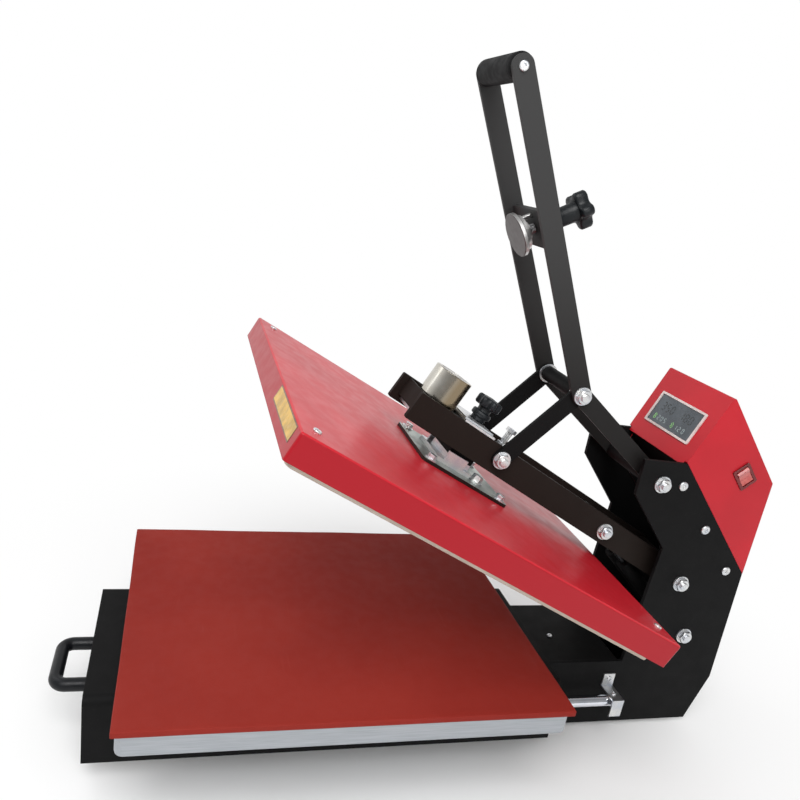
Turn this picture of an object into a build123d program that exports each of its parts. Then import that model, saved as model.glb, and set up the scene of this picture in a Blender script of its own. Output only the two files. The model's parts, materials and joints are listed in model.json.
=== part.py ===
"""Clamshell heat press with a pull-out lower platen and a toggle lever.

Millimetres.  +Z is up, -Y is the front, +X is the machine's right side.
The origin is on the bench, below the middle of the machine.
The heat platen is built closed and level, then turned up about the arm hinge to
its open rest position; the arm and the lever are laid out in the open position.
"""
from build123d import *
import math
import os

# ---------------------------------------------------------------- driving dimensions
PLATEN_W = 400.0            # nominal platen size, across the machine
PLATEN_L = 500.0            # nominal platen size, front to back
OPEN_ANGLE = 27.2           # the arm swings down by this angle to close
DRAWER_OUT = 100.0          # how far the drawer stands out of its home position
FOOT_H = 8.0                # the frame stands this high on its feet
PIVOT_FIT = 0.05            # radial running clearance of a pivot
GAP = 0.3                   # side clearance between moving plates

# hinge and pin centres as (y, z), machine open
ARM_PIVOT = (343.7, 231.7)
LEVER_PIVOT = (272.6, 373.3)
KNEE_PIN = (144.2, 475.0)
LINK_PIN = (62.4, 387.5)
SPRING_ANCHOR = (374.7, 149.5)
SPRING_PIN = (227.9, 293.2)
GRIP_CENTRE = (-6.0, 805.8)

# frame
SIDE_T = 5.0
SIDE_OUT = 65.2             # outer face of a side plate
SIDE_IN = SIDE_OUT - SIDE_T
BASE_FRONT_Y = -283.5
BASE_REAR_Y = 420.0
BASE_TOP_Z = 109.0
SHEET_T = 3.0
COLUMN_FRONT_Y = 291.6      # front edge of the upright part of a side plate

# drawer and lower platen
DRAWER_HALF_W = 109.0
DRAWER_T = 2.5
DRAWER_FRONT_Y = -394.2
DRAWER_REAR_Y = 178.5
DRAWER_TOP_Z = 114.0
DRAWER_LOW_Z = 27.0
DRAWER_BEND_R = 10.0
PAD_FRONT_Y = -358.5
PAD_T = 8.0
PAD_TOP_Z = 152.0
PAD_OVERHANG = 4.0
LOWER_PLATEN_LOW_Z = 116.0
ROD_X = 84.0
ROD_Z = 61.5
ROD_R = 7.5
BEARING_Y = (-44.0, 148.0)
BEARING_L = 35.0
HANDLE_R = 8.0
HANDLE_FRONT_Y = -441.2
HANDLE_HALF_W = 38.0        # to the centre of each leg
HANDLE_Z = 76.0

# heat platen, in its closed level position
COVER_HALF_W = 213.8
COVER_L = 503.0
COVER_REAR_Y = 242.3
COVER_LOW_Z = 165.5
COVER_H = 30.5
COVER_T = 1.5
COVER_TOP_Z = COVER_LOW_Z + COVER_H
HEAT_PLATEN_HALF_W = 200.0
HEAT_PLATEN_INSET = 9.4     # from the ends of the cover
HEAT_PLATEN_DROP = 8.0      # how far it stands out below the cover
HEAT_PLATEN_T = 16.0
SCREW_Y = -11.0             # axis of the pressure screw
MOUNT_PLATE_Y = -4.7
MOUNT_PLATE_HALF_W = 57.0
MOUNT_PLATE_L = 130.0
MOUNT_PLATE_T = 4.0
MOUNT_BOLT_X = 50.0
MOUNT_BOLT_DY = 53.0
COVER_SCREW_X = 189.0
COVER_SCREW_INSET = 20.0
SCREW_R = 6.0
KNOB_TOP_Z = 293.5
KNOB_R = 16.5
KNOB_GRIP_LOW_Z = KNOB_TOP_Z - 14.0
KNOB_FLANGE_Z = (266.8, 274.0)
KNOB_SLEEVE_LOW_Z = 258.0

# arm
ARM_IN = 34.6
ARM_T = 6.0
ARM_OUT = ARM_IN + ARM_T
ARM_H = 34.4
ARM_SLOPE = 28.5            # rise of the open arm towards the front
ARM_SAG = 0.5               # the bars lie this much below the line of the arm pivot
ARM_FRONT = 454.0           # from the arm pivot to the front end of the arm
MAGNET_Y = -71.5            # magnet axis with the arm closed
MAGNET_TOP_Z = 293.2
MAGNET_H = 60.0
MAGNET_R = 24.5

# lever, link and gas springs
LINK_IN = 41.0
LINK_OUT = 45.0
LINK_W = 22.0
LEVER_IN = 45.4
LEVER_OUT = 50.0
LEVER_W = 23.5              # above the knee
LEVER_LOW_W = 22.0          # below the knee
GRIP_R = 14.0
DISC_CENTRE = (47.84, 644.37) # back of the armature disc's face flange, lever open
DISC_ANGLE = 62.6            # the lever swings down by this angle to close
DISC_R = 25.0
SPRING_X = 15.0
BARREL_R = 9.5
SPRING_ROD_R = 4.0
SPRING_STROKE = 22.9
SHAFT_R = 8.0
PIN_R = 6.0

# control box, seen from the side as (y, z); its lower edge clears the side plates
BOX_LOW_FRONT = (299.3, 403.7)
BOX_TOP = (338.5, 492.0)
BOX_REAR_TOP = (434.5, 380.0)
BOX_REAR_LOW = (436.0, 246.4)
BOX_T = 1.5
SWITCH_CENTRE = (387.8, 388.7)
DISPLAY_W = 93.0
DISPLAY_H = 45.0
DISPLAY_UP = 40.0           # from the box's lower front edge to the display's centre


# ---------------------------------------------------------------- helpers
def plate(face, x_low, x_high):
    """Extrude a face drawn as (y, z) between two planes of constant x."""
    return extrude(Plane.YZ.offset(x_low) * face, amount=x_high - x_low)


def outline(points):
    return make_face(Polyline(*points, close=True))


def block(x, y, z):
    """Box from three (low, high) pairs."""
    size = [pair[1] - pair[0] for pair in (x, y, z)]
    centre = [(pair[0] + pair[1]) / 2 for pair in (x, y, z)]
    return Pos(*centre) * Box(*size)


def x_rod(centre, radius, x_low, x_high):
    """Cylinder along x through the point (y, z)."""
    middle = (x_low + x_high) / 2
    return Pos(middle, *centre) * Rot(0, 90, 0) * Cylinder(radius, x_high - x_low)


def z_rod(x, y, radius, z_low, z_high):
    return Pos(x, y, (z_low + z_high) / 2) * Cylinder(radius, z_high - z_low)


def y_rod(x, z, radius, y_low, y_high):
    return Pos(x, (y_low + y_high) / 2, z) * Rot(90, 0, 0) * Cylinder(radius, y_high - y_low)


def x_hexagon(centre, across_corners_r, x_low, x_high):
    face = Pos(*centre) * RegularPolygon(across_corners_r, 6)
    return plate(face, x_low, x_high)


def both_sides(shape):
    """The shape and its mirror image as two separate solids."""
    return [shape, mirror(shape, about=Plane.YZ)]


def group(solids):
    return Compound(children=list(solids))


def slot_face(start, end, width):
    """Bar with round ends between two (y, z) points."""
    middle = ((start[0] + end[0]) / 2, (start[1] + end[1]) / 2)
    length = math.dist(start, end)
    angle = math.degrees(math.atan2(end[1] - start[1], end[0] - start[0]))
    return Pos(*middle) * Rot(0, 0, angle) * SlotCenterToCenter(length, width)


def turn(shape, centre, angle):
    """Turn about the x-axis through a (y, z) point."""
    return shape.rotate(Axis((0, *centre), (1, 0, 0)), angle)


def open_platen(shape):
    return turn(shape, ARM_PIVOT, -OPEN_ANGLE)


def along(start, direction, distance):
    return (start[0] + direction[0] * distance, start[1] + direction[1] * distance)


def unit(start, end):
    length = math.dist(start, end)
    return ((end[0] - start[0]) / length, (end[1] - start[1]) / length)


def save(name, shape):
    export_step(shape, os.path.join("parts", name + ".step"))


# ---------------------------------------------------------------- fasteners
def pivot_head(centre, x_face):
    """Washer and hexagon head on a face at +x, with the bolt's end in it."""
    washer = x_rod(centre, 11.0, x_face, x_face + 2.0)
    head = x_hexagon(centre, 9.2, x_face + 2.0, x_face + 7.5)
    turned = x_rod(centre, 9.2, x_face + 2.0, x_face + 7.5)
    rim = turned.edges().filter_by(GeomType.CIRCLE).sort_by(Axis.X)[-1]
    head = head & chamfer(rim, 1.3)
    crown = x_rod(centre, 5.0, x_face + 7.5, x_face + 9.0)
    return washer + head + crown


def button_head(centre, x_face, radius=5.0):
    """Low domed screw head on a face at +x, with a hexagon socket."""
    head = x_rod(centre, radius, x_face, x_face + 2.6)
    rim = head.edges().filter_by(GeomType.CIRCLE).sort_by(Axis.X)[-1]
    head = fillet(rim, 1.6)
    return head - x_hexagon(centre, radius * 0.42, x_face + 1.2, x_face + 3.0)


def top_head(x, y, z_face, radius=5.0, height=2.8):
    """Domed screw head standing on a level face, with a hexagon socket."""
    head = z_rod(x, y, radius, z_face, z_face + height)
    rim = head.edges().filter_by(GeomType.CIRCLE).sort_by(Axis.Z)[-1]
    head = fillet(rim, height * 0.55)
    socket = Pos(x, y, z_face + height / 2) * extrude(RegularPolygon(radius * 0.42, 6), amount=height)
    return head - socket


def hex_bolt_top(x, y, z_face, radius=7.5, height=6.0):
    """Washer with a hexagon bolt head on a level face."""
    washer = z_rod(x, y, radius + 2.0, z_face, z_face + 1.6)
    head = Pos(x, y, z_face + 1.6) * extrude(RegularPolygon(radius, 6), amount=height)
    turned = z_rod(x, y, radius, z_face + 1.6, z_face + 1.6 + height)
    rim = turned.edges().filter_by(GeomType.CIRCLE).sort_by(Axis.Z)[-1]
    return washer + (head & chamfer(rim, radius * 0.15))


# ---------------------------------------------------------------- frame
def side_plate():
    face = outline([
        (240.0, 404.7),
        (240.0, 358.2),
        (301.4, 283.6),
        (COLUMN_FRONT_Y, BASE_TOP_Z),
        (BASE_FRONT_Y, BASE_TOP_Z),
        (BASE_FRONT_Y, FOOT_H),
        (BASE_REAR_Y, FOOT_H),
        (441.2, 79.2),
        (435.7, 246.1),
        (300.5, 401.6),
    ])
    solid = plate(face, SIDE_IN, SIDE_OUT)
    for centre in (LEVER_PIVOT, ARM_PIVOT):
        solid -= x_rod(centre, SHAFT_R, SIDE_IN - 1, SIDE_OUT + 1)
    return solid - x_rod(SPRING_ANCHOR, PIN_R, SIDE_IN - 1, SIDE_OUT + 1)


def base_tray():
    """Bottom plate folded up at the front."""
    inner = SIDE_IN
    bottom = block((-inner, inner), (BASE_FRONT_Y, 411.0), (FOOT_H, FOOT_H + SHEET_T))
    front = block((-inner, inner), (BASE_FRONT_Y, BASE_FRONT_Y + SHEET_T), (FOOT_H, BASE_TOP_Z - SHEET_T))
    return bottom + front


def base_top_plate():
    return block((-SIDE_IN, SIDE_IN), (BASE_FRONT_Y, 286.0), (BASE_TOP_Z - SHEET_T, BASE_TOP_Z))


def rear_cover_panel():
    """Bent sheet that closes the back of the column."""
    outer = [(413.5, 11.5), (434.5, 80.0), (429.2, 238.0)]
    inner = [(427.2, 238.0), (432.4, 80.0), (411.5, 11.5)]
    panel = plate(outline(outer + inner), -SIDE_IN, SIDE_IN)
    vent_z = 110.0
    for step in range(6):
        vent = block((-35.0, 35.0), (420.0, 440.0), (vent_z + 12 * step, vent_z + 12 * step + 4))
        panel -= vent
    return panel


def box_closing_plate():
    """Sheet between the side plates that closes the underside of the control box."""
    face = outline([
        flange_line_point(0.02, 3.0),
        flange_line_point(0.97, 3.0),
        flange_line_point(0.97, 4.5),
        flange_line_point(0.02, 4.5),
    ])
    half = SIDE_IN - GAP - BOX_T - GAP
    return plate(face, -half, half)


def cross_braces():
    """Spacer tubes bolted between the side plates."""
    braces = []
    for centre in ((345.0, 40.0), (255.0, 30.0), (409.0, 215.0)):
        tube = x_rod(centre, 8.0, -SIDE_IN, SIDE_IN) - x_rod(centre, 4.0, -SIDE_IN - 1, SIDE_IN + 1)
        braces.append(tube)
    return group(braces)


def pivot_shafts():
    places = ((LEVER_PIVOT, SHAFT_R), (ARM_PIVOT, SHAFT_R), (SPRING_ANCHOR, PIN_R))
    return group([x_rod(centre, radius, -SIDE_OUT, SIDE_OUT) for centre, radius in places])


def frame_pivot_heads():
    heads = []
    for centre in (LEVER_PIVOT, ARM_PIVOT, SPRING_ANCHOR):
        heads += both_sides(pivot_head(centre, SIDE_OUT))
    return group(heads)


def pivot_spacers():
    """Tubes on the fixed shafts that hold the moving bars apart."""
    def tube(centre, outer, inner, x_low, x_high):
        return x_rod(centre, outer, x_low, x_high) - x_rod(centre, inner, x_low - 1, x_high + 1)
    spacers = [tube(LEVER_PIVOT, 12.0, SHAFT_R, -LEVER_IN + GAP, LEVER_IN - GAP)]
    spacers += both_sides(tube(LEVER_PIVOT, 12.0, SHAFT_R, LEVER_OUT + GAP, SIDE_IN))
    spacers += both_sides(tube(ARM_PIVOT, 13.0, SHAFT_R, ARM_OUT + GAP, SIDE_IN))
    eye_out = SPRING_X + 6.0 + GAP
    eye_in = SPRING_X - 6.0 - GAP
    spacers += both_sides(tube(SPRING_ANCHOR, 9.0, PIN_R, eye_out, SIDE_IN))
    spacers.append(tube(SPRING_ANCHOR, 9.0, PIN_R, -eye_in, eye_in))
    return group(spacers)


FOOT_PLACES = [(x, y) for x in (-40.0, 40.0) for y in (-250.0, 385.0)]


def rubber_feet():
    feet = []
    for x, y in FOOT_PLACES:
        foot = Pos(x, y, FOOT_H / 2) * Cone(13.0, 15.0, FOOT_H)
        feet.append(foot - z_rod(x, y, 6.0, -1.0, 3.0))
    return group(feet)


def guide_rod():
    return y_rod(ROD_X, ROD_Z, ROD_R, -283.0, 284.0)


def rod_rear_bracket():
    """Bent strap: tab on the side plate, shelf over the rod, tab down outside it."""
    y = (269.5, 286.0)
    tab = block((SIDE_OUT, SIDE_OUT + 2.0), y, (70.0, 90.0))
    shelf = block((SIDE_OUT, 98.0), y, (ROD_Z + ROD_R, ROD_Z + ROD_R + 2.5))
    drop = block((96.0, 98.0), y, (46.0, ROD_Z + ROD_R + 2.5))
    return tab + shelf + drop


def rod_front_block():
    solid = block((SIDE_OUT, 97.0), (-283.5, -265.0), (48.0, 75.0))
    solid = fillet(solid.edges().filter_by(Axis.Y).sort_by(Axis.X)[-2:], 6.0)
    return solid - y_rod(ROD_X, ROD_Z, ROD_R, -290.0, -260.0)


def flange_line_point(share, below):
    """Point on the line where box and side plate meet, moved down square to it."""
    start, end = BOX_LOW_FRONT, BOX_REAR_LOW
    direction = unit(start, end)
    point = along(start, direction, share * math.dist(start, end))
    return along(point, (direction[1], -direction[0]), below)


BOX_SCREWS = [(303.1, 372.1), (355.4, 311.7), (407.5, 251.0)]


def frame_screws():
    """Domed screws of the control box, the rod brackets and the base plate."""
    screws = []
    for centre in BOX_SCREWS:
        screws += both_sides(button_head(centre, SIDE_OUT, 6.2))
    screws += both_sides(button_head((277.7, 82.5), SIDE_OUT + 2.0, 4.0))
    shelf_top = ROD_Z + ROD_R + 2.5
    screws += both_sides(top_head(ROD_X, 277.7, shelf_top, 3.5, 2.2))
    for y in (-240.0, -20.0, 211.0):
        screws.append(top_head(8.0, y, BASE_TOP_Z, 3.6, 1.8))
    for x, y in FOOT_PLACES:
        screws.append(top_head(x, y, FOOT_H + SHEET_T, 5.0, 2.8))
    return group(screws)


# ---------------------------------------------------------------- control box
def control_box_shell():
    corners = [BOX_LOW_FRONT, BOX_TOP, BOX_REAR_TOP, BOX_REAR_LOW]
    body = plate(outline(corners), -SIDE_OUT, SIDE_OUT)
    bends = [edge for edge in body.edges().filter_by(Axis.X) if edge.center().Y > BOX_TOP[0] - 1.0]
    body = fillet([edge for edge in bends if edge.center().Z > BOX_REAR_TOP[1] - 1.0], 3.0)
    front_low = along(BOX_LOW_FRONT, unit(BOX_LOW_FRONT, BOX_REAR_LOW), BOX_T * 1.2)
    hollow_points = [
        along(front_low, (1.0, -2.0), 3.0),
        (BOX_TOP[0] + 0.2, BOX_TOP[1] - 2.6),
        (BOX_REAR_TOP[0] - BOX_T, BOX_REAR_TOP[1] - 0.8),
        (BOX_REAR_LOW[0] - BOX_T, BOX_REAR_LOW[1] - 6.0),
    ]
    hollow = plate(outline(hollow_points), -SIDE_OUT + BOX_T, SIDE_OUT - BOX_T)
    body -= hollow
    body -= display_window()
    body -= switch_cutout()
    body -= block((-23.5, 23.5), (430.0, 440.0), (286.0, 314.0))
    for side in both_sides(box_flange()):
        body += side
    return body + box_front_lip()


def box_front_lip():
    """Lower edge of the sloping front, carried down between the side plates."""
    up = unit(BOX_LOW_FRONT, BOX_TOP)
    low = along(BOX_LOW_FRONT, up, -6.0)
    inward = (up[1] * 2.0, -up[0] * 2.0)
    top = along(BOX_LOW_FRONT, up, 6.0)
    face = outline([low, top, along(top, inward, 1.0), along(low, inward, 1.0)])
    half = SIDE_IN - GAP
    return plate(face, -half, half)


def box_flange():
    """Inner flange that the side plate is screwed to, with its joggle."""
    flange_x = (SIDE_IN - GAP - BOX_T, SIDE_IN - GAP)
    flange = plate(outline([
        flange_line_point(0.03, -4.0),
        flange_line_point(0.97, -4.0),
        flange_line_point(0.94, 34.0),
        flange_line_point(0.13, 34.0),
    ]), *flange_x)
    step = plate(outline([
        flange_line_point(0.03, -3.5),
        flange_line_point(0.97, -3.5),
        flange_line_point(0.97, -1.5),
        flange_line_point(0.03, -1.5),
    ]), flange_x[0], SIDE_OUT - BOX_T)
    return flange + step


def display_plane():
    """Plane on the sloping front of the box: x across, y up the slope."""
    up = unit(BOX_LOW_FRONT, BOX_TOP)
    centre = along(BOX_LOW_FRONT, up, DISPLAY_UP)
    return Plane(origin=(0, *centre), x_dir=(1, 0, 0), z_dir=(0, -up[1], up[0]))


def display_window():
    cut = extrude(display_plane().offset(-6.0) * Rectangle(DISPLAY_W - 3.0, DISPLAY_H - 3.0), amount=12.0)
    return cut


def display_bezel():
    outer = RectangleRounded(DISPLAY_W, DISPLAY_H, 2.0)
    opening = Rectangle(DISPLAY_W - 6.4, DISPLAY_H - 6.0)
    frame = extrude(display_plane() * (outer - opening), amount=2.0)
    body = Rectangle(DISPLAY_W - 4.0, DISPLAY_H - 3.8) - opening
    return frame + extrude(display_plane().offset(-12.0) * body, amount=12.0)


def display_screen():
    return extrude(display_plane().offset(-12.0) * Rectangle(DISPLAY_W - 6.8, DISPLAY_H - 6.4), amount=12.8)


def controller_board():
    board = Rectangle(96.0, 60.0)
    base = extrude(display_plane().offset(-13.6) * board, amount=1.6)
    chips = [(-30.0, 12.0, 12.0), (0.0, 14.0, 16.0), (28.0, -10.0, 18.0)]
    for x, y, size in chips:
        base += extrude(display_plane().offset(-19.6) * Pos(x, y) * Rectangle(size, size * 0.7), amount=6.0)
    return base


def power_relay():
    """Solid-state relay on its aluminium plate, inside the rear wall of the box."""
    sink = block((-32.0, 32.0), (428.5, 432.5), (320.0, 374.0))
    relay = block((-22.0, 22.0), (405.0, 428.5), (322.0, 368.0))
    return group([sink, relay])


def switch_plane():
    """Plane on the right wall of the box: x along the switch's long side."""
    slope = unit(BOX_TOP, BOX_REAR_TOP)
    return Plane(origin=(SIDE_OUT, *SWITCH_CENTRE), x_dir=(0, *slope), z_dir=(1, 0, 0))


def switch_cutout():
    return extrude(switch_plane().offset(-4.0) * Rectangle(28.0, 21.0), amount=8.0)


def switch_housing():
    """Rocker switch body with a raised frame round the rocker."""
    frame = extrude(switch_plane() * RectangleRounded(31.0, 24.0, 1.5), amount=2.0)
    body = extrude(switch_plane().offset(-22.0) * Rectangle(27.4, 20.4), amount=22.0)
    opening = extrude(switch_plane().offset(-12.0) * Rectangle(25.0, 17.0), amount=16.0)
    housing = frame + body - opening
    for x in (-8, 8):
        housing += extrude(switch_plane().offset(-30.0) * Pos(x, 0) * Rectangle(0.8, 6.3), amount=8.0)
    return housing


def power_rocker():
    """Rocker with a curved face, turned a little about its middle."""
    tilt = 7.0
    plane = switch_plane().offset(-6.0)
    drum = plane * Rot(90, 0, 0) * Cylinder(13.0, 16.2)
    keep = plane * Pos(0, 0, 6.0) * Box(22.6, 16.2, 18.0)
    dish = plane * Pos(0, 0, 38.0) * Rot(90, 0, 0) * Cylinder(30.5, 20.0)
    rocker = (drum & keep) - dish
    axis = Axis(plane.origin, plane.y_dir)
    return rocker.rotate(axis, tilt)


def power_inlet():
    """Appliance inlet in the rear wall of the box."""
    body = block((-23.2, 23.2), (413.0, 434.0), (286.3, 313.7))
    body += block((-28.0, 28.0), (435.6, 438.5), (283.0, 317.0))
    body += block((-23.2, 23.2), (433.9, 435.7), (286.3, 313.7))
    body -= block((-12.5, 12.5), (420.0, 440.0), (291.0, 309.0))
    for x in (-7.0, 0.0, 7.0):
        z = 302.5 if x == 0.0 else 297.5
        body += block((x - 1.0, x + 1.0), (419.0, 436.0), (z - 2.0, z + 2.0))
    return body


# ---------------------------------------------------------------- drawer
def drawer_shell():
    half = DRAWER_HALF_W
    body = block((-half, half), (DRAWER_FRONT_Y, DRAWER_REAR_Y), (DRAWER_LOW_Z, DRAWER_TOP_Z))
    bends = body.edges().filter_by(Axis.Y).sort_by(Axis.Z)[-2:]
    body = fillet(bends, DRAWER_BEND_R)
    inner_half = half - DRAWER_T
    rear = DRAWER_REAR_Y + 10.0
    y = (DRAWER_FRONT_Y + DRAWER_T, rear)
    hollow = block((-inner_half, inner_half), y, (0.0, DRAWER_TOP_Z - DRAWER_T))
    hollow = fillet(hollow.edges().filter_by(Axis.Y).sort_by(Axis.Z)[-2:], DRAWER_BEND_R - DRAWER_T)
    return body - hollow


def drawer_handle():
    """Round-bar grab handle on the drawer's front."""
    front = HANDLE_FRONT_Y + HANDLE_R
    half = HANDLE_HALF_W
    path = FilletPolyline(
        (-half, DRAWER_FRONT_Y, HANDLE_Z),
        (-half, front, HANDLE_Z),
        (half, front, HANDLE_Z),
        (half, DRAWER_FRONT_Y, HANDLE_Z),
        radius=13.0,
    )
    section = Plane(origin=(-half, DRAWER_FRONT_Y, HANDLE_Z), z_dir=(0, -1, 0)) * Circle(HANDLE_R)
    return sweep(section, path=path)


def bearing_block(y):
    low = (y - BEARING_L / 2, y + BEARING_L / 2)
    solid = block((70.0, 98.0), low, (46.5, DRAWER_TOP_Z - DRAWER_T))
    edges = solid.edges().filter_by(Axis.Y).sort_by(Axis.Z)[:2]
    return fillet(edges, 8.0) - y_rod(ROD_X, ROD_Z, 11.0, low[0] - 1, low[1] + 1)


def slide_bushing(y):
    half = BEARING_L / 2 - 1.0
    outer = y_rod(ROD_X, ROD_Z, 11.0, y - half, y + half)
    return outer - y_rod(ROD_X, ROD_Z, ROD_R + PIVOT_FIT, y - half - 1, y + half + 1)


def lower_platen():
    half = PLATEN_W / 2 - PAD_OVERHANG
    y = (PAD_FRONT_Y + PAD_OVERHANG, PAD_FRONT_Y + PLATEN_L - PAD_OVERHANG)
    body = block((-half, half), y, (LOWER_PLATEN_LOW_Z, PAD_TOP_Z - PAD_T))
    body = fillet(body.edges().filter_by(Axis.Z), 9.0)
    return fillet(body.faces().sort_by(Axis.Z)[0].edges(), 5.0)


def silicone_pad():
    half = PLATEN_W / 2
    return block((-half, half), (PAD_FRONT_Y, PAD_FRONT_Y + PLATEN_L), (PAD_TOP_Z - PAD_T, PAD_TOP_Z))


def drawer_fasteners():
    """Spacers and screws of the lower platen, and the handle's nuts."""
    pieces = []
    middle = PAD_FRONT_Y + PLATEN_L / 2
    for x in (-60.0, 60.0):
        for y in (middle - 150.0, middle + 150.0):
            pieces.append(z_rod(x, y, 14.0, DRAWER_TOP_Z, LOWER_PLATEN_LOW_Z))
    for x in (-HANDLE_HALF_W, HANDLE_HALF_W):
        nut = Plane(origin=(x, DRAWER_FRONT_Y + DRAWER_T, HANDLE_Z), z_dir=(0, 1, 0)) * RegularPolygon(7.5, 6)
        pieces.append(extrude(nut, amount=6.0))
    return group(pieces)


# ---------------------------------------------------------------- heat platen
COVER_FRONT_Y = COVER_REAR_Y - COVER_L


def heat_platen_cover():
    outer = block((-COVER_HALF_W, COVER_HALF_W), (COVER_FRONT_Y, COVER_REAR_Y), (COVER_LOW_Z, COVER_TOP_Z))
    outer = fillet(outer.edges().filter_by(Axis.Z), 3.0)
    outer = fillet(outer.faces().sort_by(Axis.Z)[-1].edges(), 2.5)
    half = COVER_HALF_W - COVER_T
    y = (COVER_FRONT_Y + COVER_T, COVER_REAR_Y - COVER_T)
    hollow = block((-half, half), y, (COVER_LOW_Z - 5.0, COVER_TOP_Z - COVER_T))
    return open_platen(outer - hollow)


def heat_platen():
    half = HEAT_PLATEN_HALF_W
    y = (COVER_FRONT_Y + HEAT_PLATEN_INSET, COVER_REAR_Y - HEAT_PLATEN_INSET)
    low = COVER_LOW_Z - HEAT_PLATEN_DROP
    body = block((-half, half), y, (low, low + HEAT_PLATEN_T))
    body = fillet(body.edges().filter_by(Axis.Z), 8.0)
    body = fillet(body.faces().sort_by(Axis.Z)[0].edges(), 1.5)
    return open_platen(body)


def heating_element():
    """Serpentine tubular heater lying on the platen's back."""
    radius = 3.8
    z = COVER_LOW_Z - HEAT_PLATEN_DROP + HEAT_PLATEN_T + radius
    runs = 8
    pitch = 44.0
    half_x = 170.0
    first_y = SCREW_Y - pitch * (runs - 1) / 2
    points = []
    for run in range(runs):
        side = -1 if run % 2 == 0 else 1
        points.append((side * half_x, first_y + pitch * run, z))
        points.append((-side * half_x, first_y + pitch * run, z))
    path = FilletPolyline(*points, radius=pitch * 0.45)
    section = Plane(origin=points[0], z_dir=(1, 0, 0)) * Circle(radius)
    return open_platen(sweep(section, path=path))


def insulation_blanket():
    low = COVER_LOW_Z - HEAT_PLATEN_DROP + HEAT_PLATEN_T + 8.0
    y = (COVER_FRONT_Y + 12.0, COVER_REAR_Y - 12.0)
    body = block((-200.0, 200.0), y, (low, COVER_TOP_Z - COVER_T - 1.0))
    return open_platen(body)


def cover_mount_plate():
    half = MOUNT_PLATE_HALF_W
    y = (MOUNT_PLATE_Y - MOUNT_PLATE_L / 2, MOUNT_PLATE_Y + MOUNT_PLATE_L / 2)
    body = block((-half, half), y, (COVER_TOP_Z, COVER_TOP_Z + MOUNT_PLATE_T))
    return open_platen(fillet(body.edges().filter_by(Axis.Z), 5.0))


def mount_plate_bolts():
    bolts = []
    for x in (-MOUNT_BOLT_X, MOUNT_BOLT_X):
        for dy in (-MOUNT_BOLT_DY, MOUNT_BOLT_DY):
            bolts.append(hex_bolt_top(x, MOUNT_PLATE_Y + dy, COVER_TOP_Z + MOUNT_PLATE_T, 5.5, 5.0))
    for x in (-BRACKET_BOLT_X, BRACKET_BOLT_X):
        bolts.append(hex_bolt_top(x, BRACKET_REAR_Y + 14.0, COVER_TOP_Z + MOUNT_PLATE_T, 7.0, 7.0))
    return open_platen(group(bolts))


def cover_screws():
    screws = []
    for x in (-COVER_SCREW_X, COVER_SCREW_X):
        for y in (COVER_FRONT_Y + COVER_SCREW_INSET, COVER_REAR_Y - COVER_SCREW_INSET):
            screws.append(top_head(x, y, COVER_TOP_Z, 4.5, 2.4))
    return open_platen(group(screws))


BRACKET_BASE_Z = COVER_TOP_Z + MOUNT_PLATE_T
BRACKET_FRONT_Y = -43.0
BRACKET_REAR_Y = 8.0
BRACKET_BOLT_X = 27.0
BRACKET_WALL_H = 17.0
COLLAR_LOW_Z = BRACKET_BASE_Z + 6.0
COLLAR_H = 6.0
COLLAR_R = 10.0
SEAT_HALF_W = 26.0
SEAT_Y = (SCREW_Y - 19.0, SCREW_Y + 16.0)
KEEPER_T = 7.0


def thrust_bracket():
    """Zinc-plated channel between the arm bars, with the screw's seat in it."""
    out = ARM_IN - GAP
    y = (BRACKET_FRONT_Y, BRACKET_REAR_Y)
    body = block((-out, out), y, (BRACKET_BASE_Z, BRACKET_BASE_Z + 5.0))
    wall_y = (SCREW_Y - 23.0, SCREW_Y + 6.0)
    for x in (-out, out - 3.0):
        body += block((x, x + 3.0), wall_y, (BRACKET_BASE_Z, BRACKET_BASE_Z + BRACKET_WALL_H))
    seat_top = COLLAR_LOW_Z + COLLAR_H + GAP
    body += block((-SEAT_HALF_W, SEAT_HALF_W), SEAT_Y, (BRACKET_BASE_Z, seat_top))
    body -= z_rod(0, SCREW_Y, COLLAR_R + PIVOT_FIT, COLLAR_LOW_Z, seat_top + 5.0)
    return open_platen(body)


def thrust_keeper():
    """Plate that holds the screw's collar down in its seat."""
    low = COLLAR_LOW_Z + COLLAR_H + GAP
    body = block((-SEAT_HALF_W, SEAT_HALF_W), SEAT_Y, (low, low + KEEPER_T))
    body -= z_rod(0, SCREW_Y, SCREW_R + PIVOT_FIT, low - 1, low + KEEPER_T + 1)
    for x in (-19.5, 19.5):
        for y in (SCREW_Y - 12.0, SCREW_Y + 10.0):
            body += z_rod(x, y, 3.0, low + KEEPER_T, low + KEEPER_T + 2.5)
    return open_platen(body)


def pressure_screw():
    collar = z_rod(0, SCREW_Y, COLLAR_R, COLLAR_LOW_Z + PIVOT_FIT, COLLAR_LOW_Z + COLLAR_H)
    shank = z_rod(0, SCREW_Y, SCREW_R, COLLAR_LOW_Z + COLLAR_H, KNOB_GRIP_LOW_Z)
    return open_platen(collar + shank)


def star_face(radius, lobes, lobe_r):
    """Face of a star grip: a round middle with round lobes."""
    face = Circle(radius * 0.72)
    for index in range(lobes):
        angle = 2 * math.pi * index / lobes
        reach = radius - lobe_r
        face += Pos(reach * math.cos(angle), reach * math.sin(angle)) * Circle(lobe_r)
    return face


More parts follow.
